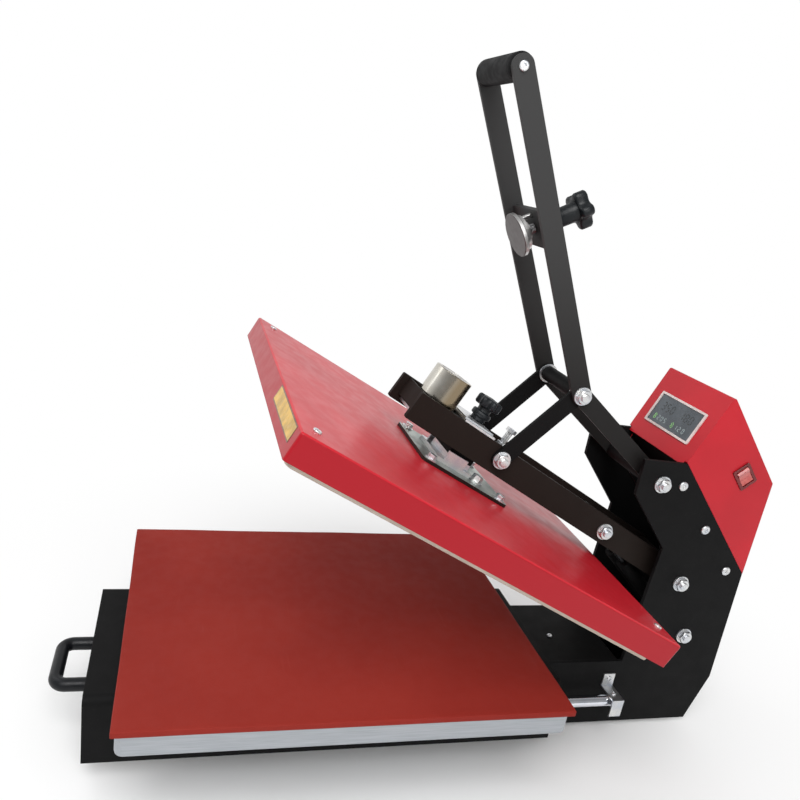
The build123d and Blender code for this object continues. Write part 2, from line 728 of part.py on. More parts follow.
def pressure_knob():
    """Star grip on a flanged hub, with a sleeve over the screw."""
    body = Pos(0, SCREW_Y, KNOB_GRIP_LOW_Z) * extrude(star_face(KNOB_R, 6, 4.2), amount=14.0)
    body += z_rod(0, SCREW_Y, 8.5, KNOB_FLANGE_Z[1], KNOB_GRIP_LOW_Z)
    body += z_rod(0, SCREW_Y, 12.5, *KNOB_FLANGE_Z)
    body += z_rod(0, SCREW_Y, 9.5, KNOB_SLEEVE_LOW_Z, KNOB_FLANGE_Z[0])
    body -= z_rod(0, SCREW_Y, SCREW_R, KNOB_SLEEVE_LOW_Z - 1, KNOB_GRIP_LOW_Z)
    return open_platen(body)


# ---------------------------------------------------------------- arm
ARM_LOW_Z = ARM_PIVOT[1] - ARM_SAG - ARM_H / 2     # with the arm laid level
ARM_TOP_Z = ARM_LOW_Z + ARM_H


def on_arm(shape):
    """Place a shape drawn with the arm level, front towards -y."""
    return turn(shape, ARM_PIVOT, -ARM_SLOPE)


def arm_y(distance):
    """Level-arm y of a point in front of the arm pivot."""
    return ARM_PIVOT[0] - distance


def arm_bar():
    y = (arm_y(ARM_FRONT), ARM_PIVOT[0])
    rear_end = (ARM_PIVOT[0], ARM_LOW_Z + ARM_H / 2)
    bar = block((ARM_IN, ARM_OUT), y, (ARM_LOW_Z, ARM_TOP_Z)) + x_rod(rear_end, ARM_H / 2, ARM_IN, ARM_OUT)
    front_corners = bar.edges().filter_by(Axis.X).sort_by(Axis.Y)[:2]
    bar = fillet(front_corners, 2.0)
    bar -= x_rod(ARM_PIVOT, SHAFT_R + PIVOT_FIT, ARM_IN - 1, ARM_OUT + 1)
    bar = on_arm(bar)
    return bar - x_rod(SPRING_PIN, PIN_R, ARM_IN - 1, ARM_OUT + 1)


def arm_cross_members():
    """Pivot tube and set-back front plate that join the arm's two bars."""
    tube = x_rod(ARM_PIVOT, 14.0, -ARM_IN, ARM_IN)
    tube -= x_rod(ARM_PIVOT, SHAFT_R + PIVOT_FIT, -ARM_IN - 1, ARM_IN + 1)
    y = (arm_y(ARM_FRONT - 9.0), arm_y(ARM_FRONT - 12.0))
    plate_between = on_arm(block((-ARM_IN, ARM_IN), y, (ARM_LOW_Z + 9.0, ARM_TOP_Z - 1.0)))
    return group([tube, plate_between])


def pressure_nut_block():
    """Threaded block between the arm bars that the pressure screw runs in."""
    body = block((-ARM_IN, ARM_IN), (SCREW_Y - 13.0, SCREW_Y + 13.0), (233.0, 252.0))
    return open_platen(body - z_rod(0, SCREW_Y, SCREW_R + PIVOT_FIT, 230.0, 256.0))


def electromagnet():
    low = MAGNET_TOP_Z - MAGNET_H
    body = z_rod(0, MAGNET_Y, MAGNET_R, low, MAGNET_TOP_Z)
    body = chamfer(body.edges().filter_by(GeomType.CIRCLE).sort_by(Axis.Z)[-1], 0.8)
    groove = z_rod(0, MAGNET_Y, 18.0, MAGNET_TOP_Z - 0.8, MAGNET_TOP_Z + 1)
    groove -= z_rod(0, MAGNET_Y, 10.0, MAGNET_TOP_Z - 1.8, MAGNET_TOP_Z + 2)
    return open_platen(body - groove)


def magnet_mount():
    """Cross plate under the magnet."""
    low = MAGNET_TOP_Z - MAGNET_H
    body = block((-ARM_IN, ARM_IN), (MAGNET_Y - 25.0, MAGNET_Y + 28.0), (low - 5.0, low))
    return open_platen(body)


def magnet_strap():
    """Two plates on the arm's upper edges, from the magnet to the pressure screw."""
    y = (MAGNET_Y + MAGNET_R + 1.5, SCREW_Y + 12.0)
    lower = block((-ARM_OUT + 0.6, ARM_OUT - 0.6), y, (ARM_TOP_Z, ARM_TOP_Z + 2.5))
    upper = block((-34.0, 34.0), (y[0] + 1.0, y[1] - 2.0), (ARM_TOP_Z + 2.5, ARM_TOP_Z + 4.5))
    return on_arm(lower + upper) - open_platen(z_rod(0, SCREW_Y, 11.5, 240.0, 280.0))


def height_stop_bolt():
    """Stop bolt with its lock nut on a small cross bar behind the link pin."""
    y = arm_y(307.0)
    z = ARM_PIVOT[1]
    bar = block((-ARM_IN, ARM_IN), (y - 7.0, y + 7.0), (z - 2.0, z + 10.0))
    bolt = z_rod(0, y, 4.0, z + 10.0, z + 34.0)
    nut = Pos(0, y, z + 10.0) * extrude(RegularPolygon(7.0, 6), amount=6.0)
    head = Pos(0, y, z + 32.0) * extrude(RegularPolygon(7.0, 6), amount=5.0)
    return on_arm(group([bar, bolt + nut + head]))


def spring_pin():
    """Through pin on the arm that the gas springs push on."""
    shank = x_rod(SPRING_PIN, PIN_R, -ARM_OUT, ARM_OUT)
    for head in both_sides(pivot_head(SPRING_PIN, ARM_OUT)):
        shank += head
    return shank


# ---------------------------------------------------------------- lever
LEVER_DIRECTION = unit(KNEE_PIN, GRIP_CENTRE)
DISC_BACK = (math.sin(math.radians(DISC_ANGLE)), math.cos(math.radians(DISC_ANGLE)))


def lever_bar():
    face = slot_face(GRIP_CENTRE, KNEE_PIN, LEVER_W) + slot_face(KNEE_PIN, LEVER_PIVOT, LEVER_LOW_W)
    bar = plate(face, LEVER_IN, LEVER_OUT)
    bar -= x_rod(LEVER_PIVOT, SHAFT_R + PIVOT_FIT, LEVER_IN - 1, LEVER_OUT + 1)
    bar -= x_rod(KNEE_PIN, PIN_R, LEVER_IN - 1, LEVER_OUT + 1)
    return bar - x_rod(GRIP_CENTRE, 4.0, LEVER_IN - 1, LEVER_OUT + 1)


def lever_grip():
    return x_rod(GRIP_CENTRE, GRIP_R, -LEVER_IN, LEVER_IN)


KNEE_WASHER_T = 1.5


def knee_pin():
    """Pin at the lever's knee, with its heads and the washers beside the link."""
    body = x_rod(KNEE_PIN, PIN_R, -LEVER_OUT, LEVER_OUT)
    for head in both_sides(pivot_head(KNEE_PIN, LEVER_OUT)):
        body += head
    outer = LINK_IN - GAP
    for washer in both_sides(x_rod(KNEE_PIN, 12.0, outer - KNEE_WASHER_T, outer)):
        body += washer
    return body


def knee_spacer():
    half = LINK_IN - GAP - KNEE_WASHER_T
    return x_rod(KNEE_PIN, 9.5, -half, half) - x_rod(KNEE_PIN, PIN_R, -half - 1, half + 1)


def grip_screws():
    return group(both_sides(button_head(GRIP_CENTRE, LEVER_OUT, 5.2)))


def disc_plane(back):
    """Plane square to the clamp screw, at a distance behind the disc's flange."""
    origin = along(DISC_CENTRE, DISC_BACK, back)
    return Plane(origin=(0, *origin), x_dir=(1, 0, 0), z_dir=(0, *DISC_BACK))


def lever_cross_plate():
    """Plate between the lever bars that carries the clamp screw."""
    face = Rectangle(2 * LEVER_IN, 44.0) - Circle(PIN_R + PIVOT_FIT) - Pos(0, -15.0) * Circle(3.0 + PIVOT_FIT)
    body = extrude(disc_plane(18.0) * face, amount=6.0)
    boss = Circle(12.0) - Circle(PIN_R + PIVOT_FIT)
    return body + extrude(disc_plane(24.0) * boss, amount=8.0)


def armature_disc():
    """Steel disc that the magnet holds, with its boss and guide pin."""
    flange = extrude(disc_plane(-5.0) * Circle(DISC_R), amount=5.0)
    flange = chamfer(flange.edges().filter_by(GeomType.CIRCLE), 0.6)
    boss = extrude(disc_plane(0.0) * Circle(20.0), amount=5.5)
    hub = extrude(disc_plane(5.5) * Circle(11.5), amount=4.5)
    pin = extrude(disc_plane(5.5) * Pos(0, -15.0) * Circle(3.0), amount=28.0)
    return flange + boss + hub + pin


def clamp_knob():
    """Star knob of the clamp screw."""
    grip = extrude(disc_plane(68.5) * star_face(22.0, 5, 6.5), amount=16.0)
    hub = extrude(disc_plane(44.0) * (Circle(11.0) - Circle(PIN_R)), amount=24.5)
    return grip + hub


def clamp_screw():
    return extrude(disc_plane(10.3) * Circle(PIN_R), amount=58.2)


# ---------------------------------------------------------------- link
def link_bar():
    face = slot_face(KNEE_PIN, LINK_PIN, LINK_W)
    return plate(face, LINK_IN, LINK_OUT) - x_rod(KNEE_PIN, PIN_R + PIVOT_FIT, LINK_IN - 1, LINK_OUT + 1)


def link_bolts():
    return group(both_sides(pivot_head(LINK_PIN, LINK_OUT)))


# ---------------------------------------------------------------- gas springs
SPRING_DIRECTION = unit(SPRING_ANCHOR, SPRING_PIN)
SPRING_LENGTH = math.dist(SPRING_ANCHOR, SPRING_PIN)
PIN_CLEARANCE = 1.8         # play of the rod eye on the arm's pin


def spring_plane(distance, x):
    """Plane square to a gas spring, at a distance from its anchor."""
    origin = along(SPRING_ANCHOR, SPRING_DIRECTION, distance)
    return Plane(origin=(x, *origin), x_dir=(1, 0, 0), z_dir=(0, *SPRING_DIRECTION))


def gas_spring_barrel(x):
    eye = x_rod(SPRING_ANCHOR, 10.5, x - 6.0, x + 6.0)
    barrel = extrude(spring_plane(9.0, x) * Circle(BARREL_R), amount=112.0)
    bore = extrude(spring_plane(24.0, x) * Circle(7.0), amount=92.0)
    mouth = extrude(spring_plane(110.0, x) * Circle(SPRING_ROD_R + PIVOT_FIT), amount=20.0)
    hole = x_rod(SPRING_ANCHOR, PIN_R + PIVOT_FIT, x - 7.0, x + 7.0)
    return (eye + barrel) - bore - mouth - hole


def gas_spring_rod(x):
    eye = x_rod(SPRING_PIN, 12.5, x - 6.0, x + 6.0)
    rod = extrude(spring_plane(60.0, x) * Circle(SPRING_ROD_R), amount=SPRING_LENGTH - 60.0 - 9.0)
    piston = extrude(spring_plane(60.0, x) * Circle(7.0 - 2 * PIVOT_FIT), amount=8.0)
    hole = x_rod(SPRING_PIN, PIN_R + PIN_CLEARANCE, x - 7.0, x + 7.0)
    return (eye + rod + piston) - hole


# ---------------------------------------------------------------- write the parts
def main():
    os.makedirs("parts", exist_ok=True)
    right_plate = side_plate()
    save("right_side_plate", right_plate)
    save("left_side_plate", mirror(right_plate, about=Plane.YZ))
    save("base_tray", base_tray())
    save("base_top_plate", base_top_plate())
    save("rear_cover_panel", group([rear_cover_panel(), box_closing_plate()]))
    save("cross_braces", cross_braces())
    save("pivot_shafts", pivot_shafts())
    save("pivot_bolt_heads", frame_pivot_heads())
    save("pivot_spacers", pivot_spacers())
    save("rubber_feet", rubber_feet())
    save("guide_rods", group(both_sides(guide_rod())))
    save("rod_rear_brackets", group(both_sides(rod_rear_bracket())))
    save("rod_front_blocks", group(both_sides(rod_front_block())))
    save("frame_screws", frame_screws())
    save("control_box_shell", control_box_shell())
    save("display_bezel", display_bezel())
    save("display_screen", display_screen())
    save("controller_board", controller_board())
    save("power_relay", power_relay())
    save("switch_housing", switch_housing())
    save("power_rocker", power_rocker())
    save("power_inlet", power_inlet())
    save("drawer_shell", drawer_shell())
    save("drawer_handle", drawer_handle())
    blocks = [solid for y in BEARING_Y for solid in both_sides(bearing_block(y))]
    save("bearing_blocks", group(blocks))
    bushings = [solid for y in BEARING_Y for solid in both_sides(slide_bushing(y))]
    save("slide_bushings", group(bushings))
    save("lower_platen", lower_platen())
    save("silicone_pad", silicone_pad())
    save("drawer_fasteners", drawer_fasteners())
    save("heat_platen_cover", heat_platen_cover())
    save("heat_platen", heat_platen())
    save("heating_element", heating_element())
    save("insulation_blanket", insulation_blanket())
    save("cover_mount_plate", cover_mount_plate())
    save("mount_plate_bolts", mount_plate_bolts())
    save("cover_screws", cover_screws())
    save("thrust_bracket", thrust_bracket())
    save("thrust_keeper", thrust_keeper())
    save("pressure_screw", pressure_screw())
    save("pressure_knob", pressure_knob())
    right_bar = arm_bar()
    save("arm_bar_right", right_bar)
    save("arm_bar_left", mirror(right_bar, about=Plane.YZ))
    save("arm_cross_members", arm_cross_members())
    save("pressure_nut_block", pressure_nut_block())
    save("electromagnet", electromagnet())
    save("magnet_mount", group([magnet_mount(), magnet_strap()]))
    save("height_stop_bolt", height_stop_bolt())
    save("spring_pin", spring_pin())
    right_lever = lever_bar()
    save("lever_bars", group([right_lever, mirror(right_lever, about=Plane.YZ)]))
    save("lever_grip", lever_grip())
    save("knee_pin", knee_pin())
    save("knee_spacer", knee_spacer())
    save("grip_screws", grip_screws())
    save("lever_cross_plate", lever_cross_plate())
    save("armature_disc", armature_disc())
    save("clamp_knob", group([clamp_knob(), clamp_screw()]))
    save("link_bars", group(both_sides(link_bar())))
    save("link_bolts", link_bolts())
    save("gas_spring_barrels", group([gas_spring_barrel(x) for x in (-SPRING_X, SPRING_X)]))
    save("gas_spring_rods", group([gas_spring_rod(x) for x in (-SPRING_X, SPRING_X)]))


main()
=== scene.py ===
"""Looks of the clamshell heat press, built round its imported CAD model. Metres."""
import json
import math

import bmesh
import bpy
from mathutils import Matrix, Vector, noise


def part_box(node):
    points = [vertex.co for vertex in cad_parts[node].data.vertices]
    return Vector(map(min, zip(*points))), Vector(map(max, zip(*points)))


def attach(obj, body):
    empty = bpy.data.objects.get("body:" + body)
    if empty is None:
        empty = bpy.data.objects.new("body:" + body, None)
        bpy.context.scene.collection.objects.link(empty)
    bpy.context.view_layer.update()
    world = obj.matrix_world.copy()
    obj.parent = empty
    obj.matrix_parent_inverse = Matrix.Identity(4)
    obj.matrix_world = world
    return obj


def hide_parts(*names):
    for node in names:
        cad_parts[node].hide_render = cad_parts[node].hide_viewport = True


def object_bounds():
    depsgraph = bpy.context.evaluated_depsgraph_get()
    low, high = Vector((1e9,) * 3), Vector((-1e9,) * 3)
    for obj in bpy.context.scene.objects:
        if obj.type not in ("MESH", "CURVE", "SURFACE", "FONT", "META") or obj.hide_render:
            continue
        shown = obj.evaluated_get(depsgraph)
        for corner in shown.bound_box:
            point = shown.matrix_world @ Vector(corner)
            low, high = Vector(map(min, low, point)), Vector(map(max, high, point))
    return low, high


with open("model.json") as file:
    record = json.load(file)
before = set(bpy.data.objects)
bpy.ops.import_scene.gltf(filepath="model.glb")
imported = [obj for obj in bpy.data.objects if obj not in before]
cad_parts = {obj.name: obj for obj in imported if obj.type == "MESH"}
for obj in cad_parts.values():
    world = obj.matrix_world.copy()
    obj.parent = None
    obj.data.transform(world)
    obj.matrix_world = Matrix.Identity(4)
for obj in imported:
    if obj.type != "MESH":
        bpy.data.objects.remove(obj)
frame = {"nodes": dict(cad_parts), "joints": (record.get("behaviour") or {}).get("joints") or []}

CAD_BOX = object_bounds()
MM = 0.001
NODES = frame["nodes"]
JOINTS = {joint["name"]: joint for joint in frame["joints"]}
X_AXIS = Vector((1, 0, 0))


# ---------------------------------------------------------------- measuring the frame
def points_of(node):
    return [vertex.co for vertex in NODES[node].data.vertices]


def reach(node, direction):
    """Lowest and highest distance of a node along a direction."""
    distances = [point.dot(direction) for point in points_of(node)]
    return min(distances), max(distances)


def frame_at(origin, x_dir, z_dir):
    """Matrix that places a piece drawn at the origin, standing on z."""
    z = z_dir.normalized()
    x = (x_dir - x_dir.dot(z) * z).normalized()
    y = z.cross(x)
    rotation = Matrix((x, y, z)).transposed().to_4x4()
    return Matrix.Translation(origin) @ rotation


def joint_axis(name):
    joint = JOINTS[name]
    return Vector(joint["pos_m"]), Vector(joint["axis"]).normalized()


def open_platen_matrix():
    """Turns a point of the closed, level platen to its open place."""
    pivot = Vector(JOINTS["arm_hinge"]["pos_m"])
    angle = math.radians(JOINTS["arm_hinge"]["range_deg"][1])
    turn = Matrix.Rotation(-angle, 4, "X")
    return Matrix.Translation(pivot) @ turn @ Matrix.Translation(-pivot)


OPEN = open_platen_matrix()
CLOSE = OPEN.inverted()
PLATEN_UP = OPEN.to_3x3() @ Vector((0, 0, 1))


def closed_box(node):
    """A platen node's box with the platen closed and level."""
    points = [CLOSE @ point for point in points_of(node)]
    low = Vector([min(point[axis] for point in points) for axis in range(3)])
    high = Vector([max(point[axis] for point in points) for axis in range(3)])
    return low, high


# ---------------------------------------------------------------- shader helpers
class Shader:
    """A new material and short calls that add nodes to it."""

    def __init__(self, name):
        self.material = bpy.data.materials.new(name)
        self.material.use_nodes = True
        self.tree = self.material.node_tree
        self.principled = self.tree.nodes["Principled BSDF"]
        self.place = self.add("ShaderNodeTexCoord").outputs["Object"]

    def add(self, kind, **inputs):
        node = self.tree.nodes.new(kind)
        self.feed(node, **inputs)
        return node

    def feed(self, node, **inputs):
        for name, value in inputs.items():
            socket = node.inputs[name.replace("_", " ")]
            if isinstance(value, bpy.types.NodeSocket):
                self.tree.links.new(value, socket)
            else:
                socket.default_value = value

    def surface(self, **inputs):
        self.feed(self.principled, **inputs)

    def stretched(self, scale):
        return self.add("ShaderNodeMapping", Vector=self.place, Scale=scale).outputs["Vector"]

    def noise(self, scale, detail=3.0, place=None):
        node = self.add("ShaderNodeTexNoise", Vector=place or self.place, Scale=scale, Detail=detail)
        return node.outputs["Fac"]

    def cells(self, scale):
        node = self.add("ShaderNodeTexVoronoi", Vector=self.place, Scale=scale)
        return node.outputs["Distance"]

    def remap(self, value, low, high, to_low=0.0, to_high=1.0):
        node = self.add("ShaderNodeMapRange", Value=value)
        node.interpolation_type = "SMOOTHSTEP"
        self.feed(node, From_Min=low, From_Max=high, To_Min=to_low, To_Max=to_high)
        return node.outputs["Result"]

    def multiply(self, first, second):
        node = self.tree.nodes.new("ShaderNodeMath")
        node.operation = "MULTIPLY"
        for socket, value in zip(node.inputs, (first, second)):
            if isinstance(value, bpy.types.NodeSocket):
                self.tree.links.new(value, socket)
            else:
                socket.default_value = value
        return node.outputs[0]

    def mix(self, factor, first, second):
        node = self.tree.nodes.new("ShaderNodeMix")
        node.data_type = "RGBA"
        for index, value in ((0, factor), (6, first), (7, second)):
            if isinstance(value, bpy.types.NodeSocket):
                self.tree.links.new(value, node.inputs[index])
            else:
                node.inputs[index].default_value = value
        return node.outputs[2]

    def rounded(self, radius):
        """Normal that rounds the sharp edges off."""
        node = self.add("ShaderNodeBevel", Radius=radius)
        node.samples = 4
        return node.outputs["Normal"]

    def edges(self, radius, sharpness=0.25):
        """1 on sharp edges, 0 on faces."""
        geometry = self.tree.nodes.new("ShaderNodeNewGeometry")
        dot = self.tree.nodes.new("ShaderNodeVectorMath")
        dot.operation = "DOT_PRODUCT"
        self.tree.links.new(self.rounded(radius), dot.inputs[0])
        self.tree.links.new(geometry.outputs["Normal"], dot.inputs[1])
        return self.remap(dot.outputs["Value"], 1.0, 1.0 - sharpness)

    def flipped(self, value):
        """1 where the value is 0, and 0 where it is 1."""
        return self.remap(value, 0.0, 1.0, 1.0, 0.0)

    def facing(self, direction, low, high):
        """0 to 1 between two cosines of the angle from the surface's normal to a direction."""
        geometry = self.tree.nodes.new("ShaderNodeNewGeometry")
        dot = self.tree.nodes.new("ShaderNodeVectorMath")
        dot.operation = "DOT_PRODUCT"
        self.tree.links.new(geometry.outputs["Normal"], dot.inputs[0])
        dot.inputs[1].default_value = direction
        return self.remap(dot.outputs["Value"], low, high)

    def along(self, direction, low, high):
        """0 to 1 between two distances along a direction."""
        dot = self.tree.nodes.new("ShaderNodeVectorMath")
        dot.operation = "DOT_PRODUCT"
        self.tree.links.new(self.place, dot.inputs[0])
        dot.inputs[1].default_value = direction
        return self.remap(dot.outputs["Value"], low, high)

    def bump(self, height, distance, strength=1.0, normal=None):
        node = self.add("ShaderNodeBump", Height=height, Distance=distance, Strength=strength)
        if normal is not None:
            self.tree.links.new(normal, node.inputs["Normal"])
        return node.outputs["Normal"]


def tone(red, green, blue):
    return (red, green, blue, 1.0)


def scaled(colour, factor):
    return tone(*[min(1.0, part * factor) for part in colour[:3]])


# ---------------------------------------------------------------- materials
def powder_coat(name, colour, roughness, edge_colour, dust, gloss, second=None):
    """Baked paint: fine orange peel, faint mottling, lighter edges that are partly thin, worn paint and
    partly painted highlight, a little dust.

    A second colour and the function that masks it can be laid over the first.
    """
    shader = Shader(name)
    mottling = shader.remap(shader.noise(9.0), 0.3, 0.7)
    mottled = shader.mix(mottling, scaled(colour, 0.92), scaled(colour, 1.08))
    if second is not None:
        second_colour, mask = second
        mottled = shader.mix(mask(shader), mottled, second_colour)
    dusty = shader.multiply(shader.remap(shader.noise(420.0, 2.0), 0.6, 0.74), shader.noise(6.0))
    dusted = shader.mix(shader.multiply(dusty, dust), mottled, tone(0.45, 0.43, 0.4))
    # Lighter edges: partly worn, thin paint and partly painted highlight.
    edge_wear_and_highlight = shader.multiply(shader.edges(0.0008), shader.remap(shader.noise(90.0), 0.35, 0.7, 0.15, 0.6))
    shader.surface(
        Base_Color=shader.mix(edge_wear_and_highlight, dusted, edge_colour),
        Roughness=shader.remap(shader.noise(55.0), 0.3, 0.7, roughness - 0.03, roughness + 0.04),
        Specular_IOR_Level=gloss,
    )
    peel = shader.bump(shader.noise(900.0, 2.0), 0.00005, 0.4, shader.rounded(0.0009))
    shader.surface(Normal=peel)
    return shader.material


def plated_metal(name, colour, tint, roughness, grain=(90.0, 900.0, 900.0)):
    """Bright plating with cloudy passivation, rubbed streaks and fine scratches."""
    shader = Shader(name)
    cloud = shader.remap(shader.noise(70.0), 0.35, 0.68)
    base = shader.mix(cloud, colour, tint)
    rubbed = shader.remap(shader.noise(1.0, 3.0, shader.stretched(grain)), 0.35, 0.7)
    shader.surface(
        Base_Color=shader.mix(shader.multiply(rubbed, 0.35), base, scaled(colour, 0.62)),
        Metallic=1.0,
        Roughness=shader.remap(rubbed, 0.0, 1.0, roughness, roughness + 0.14),
    )
    shader.surface(Normal=shader.bump(rubbed, 0.00002, 0.5, shader.rounded(0.0005)))
    return shader.material


def polished_metal(name, colour, tint, roughness, second=None):
    """Mirror-like plating, faintly lined by the lathe; a second colour can be masked over it."""
    shader = Shader(name)
    haze = shader.remap(shader.noise(38.0), 0.35, 0.7)
    base = shader.mix(haze, colour, tint)
    if second is not None:
        second_colour, mask = second
        base = shader.mix(mask(shader), base, second_colour)
    shader.surface(
        Base_Color=base,
        Metallic=1.0,
        Roughness=shader.remap(shader.noise(160.0, 4.0), 0.3, 0.7, roughness, roughness + 0.06),
    )
    lines = shader.noise(1.0, 2.0, shader.stretched((30.0, 1500.0, 1500.0)))
    shader.surface(Normal=shader.bump(lines, 0.000006, 0.5, shader.rounded(0.0004)))
    return shader.material


def brushed_aluminium(name, dull, light, stain_colour):
    """Cast and machined plate: long fine grain, slight pits and stains."""
    shader = Shader(name)
    grain = shader.noise(1.0, 4.0, shader.stretched((1600.0, 26.0, 1600.0)))
    stain = shader.remap(shader.noise(11.0, 5.0), 0.42, 0.7)
    pits = shader.remap(shader.cells(330.0), 0.0, 0.16, 1.0, 0.0)
    bright = shader.mix(shader.remap(grain, 0.3, 0.7), dull, light)
    stained = shader.mix(shader.multiply(stain, 0.2), bright, stain_colour)
    shader.surface(
        Base_Color=shader.mix(shader.multiply(pits, 0.1), stained, tone(0.3, 0.31, 0.33)),
        Metallic=0.8,
        Roughness=shader.remap(grain, 0.3, 0.7, 0.4, 0.5),
    )
    shader.surface(Normal=shader.bump(grain, 0.000012, 0.3, shader.rounded(0.0008)))
    return shader.material


def turned_steel(name, colour, roughness):
    """Bare or oxidised steel, lined round by the tool."""
    shader = Shader(name)
    lines = shader.noise(1.0, 3.0, shader.stretched((900.0, 60.0, 60.0)))
    stain = shader.remap(shader.noise(50.0, 4.0), 0.4, 0.75)
    shader.surface(
        Base_Color=shader.mix(stain, colour, scaled(colour, 0.55)),
        Metallic=1.0,
        Roughness=shader.remap(lines, 0.3, 0.7, roughness, roughness + 0.15),
    )
    shader.surface(Normal=shader.bump(lines, 0.00002, 0.5))
    return shader.material


def silicone_sponge(name):
    """Matt terracotta silicone with a fine skin, faint scuffs and warm blotches."""
    shader = Shader(name)
    blotch = shader.remap(shader.noise(5.0, 4.0), 0.35, 0.68)
    warm = shader.mix(blotch, tone(0.235, 0.018, 0.012), tone(0.27, 0.024, 0.016))
    speck = shader.remap(shader.noise(1300.0, 2.0), 0.52, 0.7)
    flecked = shader.mix(shader.multiply(speck, 0.3), warm, tone(0.17, 0.016, 0.012))
    scuff = shader.noise(1.0, 5.0, shader.stretched((14.0, 120.0, 14.0)))
    scuffed = shader.mix(shader.remap(scuff, 0.62, 0.8, 0.0, 0.1), flecked, tone(0.38, 0.09, 0.07))
    shader.surface(
        Base_Color=scuffed,
        Roughness=shader.remap(shader.noise(60.0), 0.3, 0.7, 0.6, 0.72),
        Specular_IOR_Level=0.14,
    )
    skin = shader.bump(shader.noise(1500.0, 3.0), 0.00007, 0.5)
    shader.surface(Normal=shader.bump(shader.noise(22.0, 3.0), 0.0006, 0.25, skin))
    return shader.material


def moulded_plastic(name, colour, roughness, grain=1300.0, depth=0.00005, gloss=0.5):
    """Moulded plastic or hard rubber with a fine spark-eroded grain, and lighter edges that are partly
    rubbed wear and partly painted sheen.
    """
    shader = Shader(name)
    patch = shader.remap(shader.noise(35.0), 0.35, 0.7)
    base = shader.mix(patch, scaled(colour, 0.85), scaled(colour, 1.2))
    # Lighter edges: partly rubbed wear and partly painted sheen.
    rubbed = shader.multiply(shader.edges(0.0012), shader.remap(shader.noise(160.0), 0.4, 0.7))
    shader.surface(
        Base_Color=shader.mix(shader.multiply(rubbed, 0.6), base, scaled(colour, 3.0)),
        Roughness=shader.remap(shader.noise(110.0), 0.3, 0.7, roughness - 0.06, roughness + 0.08),
        Specular_IOR_Level=gloss,
    )
    shader.surface(Normal=shader.bump(shader.cells(grain), depth, 0.5, shader.rounded(0.0007)))
    return shader.material


def display_glass(name):
    """Dark display window: a faint cell grid under a clear glossy face."""
    shader = Shader(name)
    grid = shader.add("ShaderNodeTexBrick", Vector=shader.place, Scale=1600.0, Mortar_Size=0.06)
    grid.offset = 0.0
    shader.feed(grid, Color1=tone(0.035, 0.05, 0.066), Color2=tone(0.045, 0.062, 0.08))
    shader.feed(grid, Mortar=tone(0.02, 0.028, 0.036))
    smear = shader.remap(shader.noise(45.0, 4.0), 0.4, 0.7)
    shader.surface(
        Base_Color=shader.mix(shader.multiply(smear, 0.25), grid.outputs["Color"], tone(0.09, 0.11, 0.13)),
        Roughness=shader.remap(smear, 0.0, 1.0, 0.12, 0.3),
        Coat_Weight=0.5,
        Coat_Roughness=0.06,
    )
    return shader.material


def lit_digits(name, colour, strength):
    """Display segments, a little uneven in brightness."""
    shader = Shader(name)
    uneven = shader.remap(shader.noise(500.0), 0.3, 0.7)
    glow = shader.mix(uneven, scaled(colour, 0.75), colour)
    shader.surface(Base_Color=glow, Emission_Color=glow, Emission_Strength=strength, Roughness=0.35)
    return shader.material


def lit_rocker(name):
    """Translucent red rocker, lit from inside, with a cloudy tone."""
    shader = Shader(name)
    cloudy = shader.remap(shader.noise(130.0, 3.0), 0.3, 0.7)
    red = shader.mix(cloudy, tone(0.34, 0.03, 0.03), tone(0.5, 0.1, 0.085))
    shader.surface(
        Base_Color=red,
        Emission_Color=red,
        Emission_Strength=0.06,
        Roughness=shader.remap(cloudy, 0.0, 1.0, 0.2, 0.32),
        Coat_Weight=0.4,
        Coat_Roughness=0.1,
    )
    shader.surface(Normal=shader.bump(cloudy, 0.00004, 0.4, shader.rounded(0.0006)))
    return shader.material


def printed_foil(name, colour, roughness=0.4):
    """Printed adhesive foil, slightly wrinkled and faded."""
    shader = Shader(name)
    faded = shader.remap(shader.noise(60.0, 4.0), 0.35, 0.7)
    shader.surface(
        Base_Color=shader.mix(faded, scaled(colour, 0.72), scaled(colour, 1.1)),
        Roughness=shader.remap(shader.noise(300.0), 0.3, 0.7, roughness - 0.06, roughness + 0.1),
        Coat_Weight=0.3,
        Coat_Roughness=0.2,
    )
    shader.surface(Normal=shader.bump(shader.noise(110.0, 2.0), 0.0002, 0.3))
    return shader.material


def circuit_laminate(name):
    """Green lacquered board with copper tracks."""
    shader = Shader(name)
    tracks = shader.add("ShaderNodeTexBrick", Vector=shader.place, Scale=260.0, Mortar_Size=0.09)
    shader.feed(tracks, Color1=tone(0.012, 0.1, 0.04), Color2=tone(0.014, 0.12, 0.05))
    shader.feed(tracks, Mortar=tone(0.08, 0.3, 0.1))
    shader.surface(
        Base_Color=tracks.outputs["Color"],
        Roughness=shader.remap(shader.noise(200.0), 0.3, 0.7, 0.25, 0.4),
    )
    shader.surface(Normal=shader.bump(tracks.outputs["Fac"], 0.00005, 0.4))
    return shader.material


def fibre_blanket(name):
    """Pale ceramic fibre felt."""
    shader = Shader(name)
    fibres = shader.noise(1.0, 6.0, shader.stretched((500.0, 90.0, 900.0)))
    felt = shader.mix(shader.remap(fibres, 0.35, 0.65), tone(0.58, 0.56, 0.5), tone(0.84, 0.83, 0.79))
    shader.surface(
        Base_Color=felt,
        Roughness=shader.remap(fibres, 0.3, 0.7, 0.85, 1.0),
        Sheen_Weight=0.3,
    )
    shader.surface(Normal=shader.bump(fibres, 0.0006, 0.6))
    return shader.material


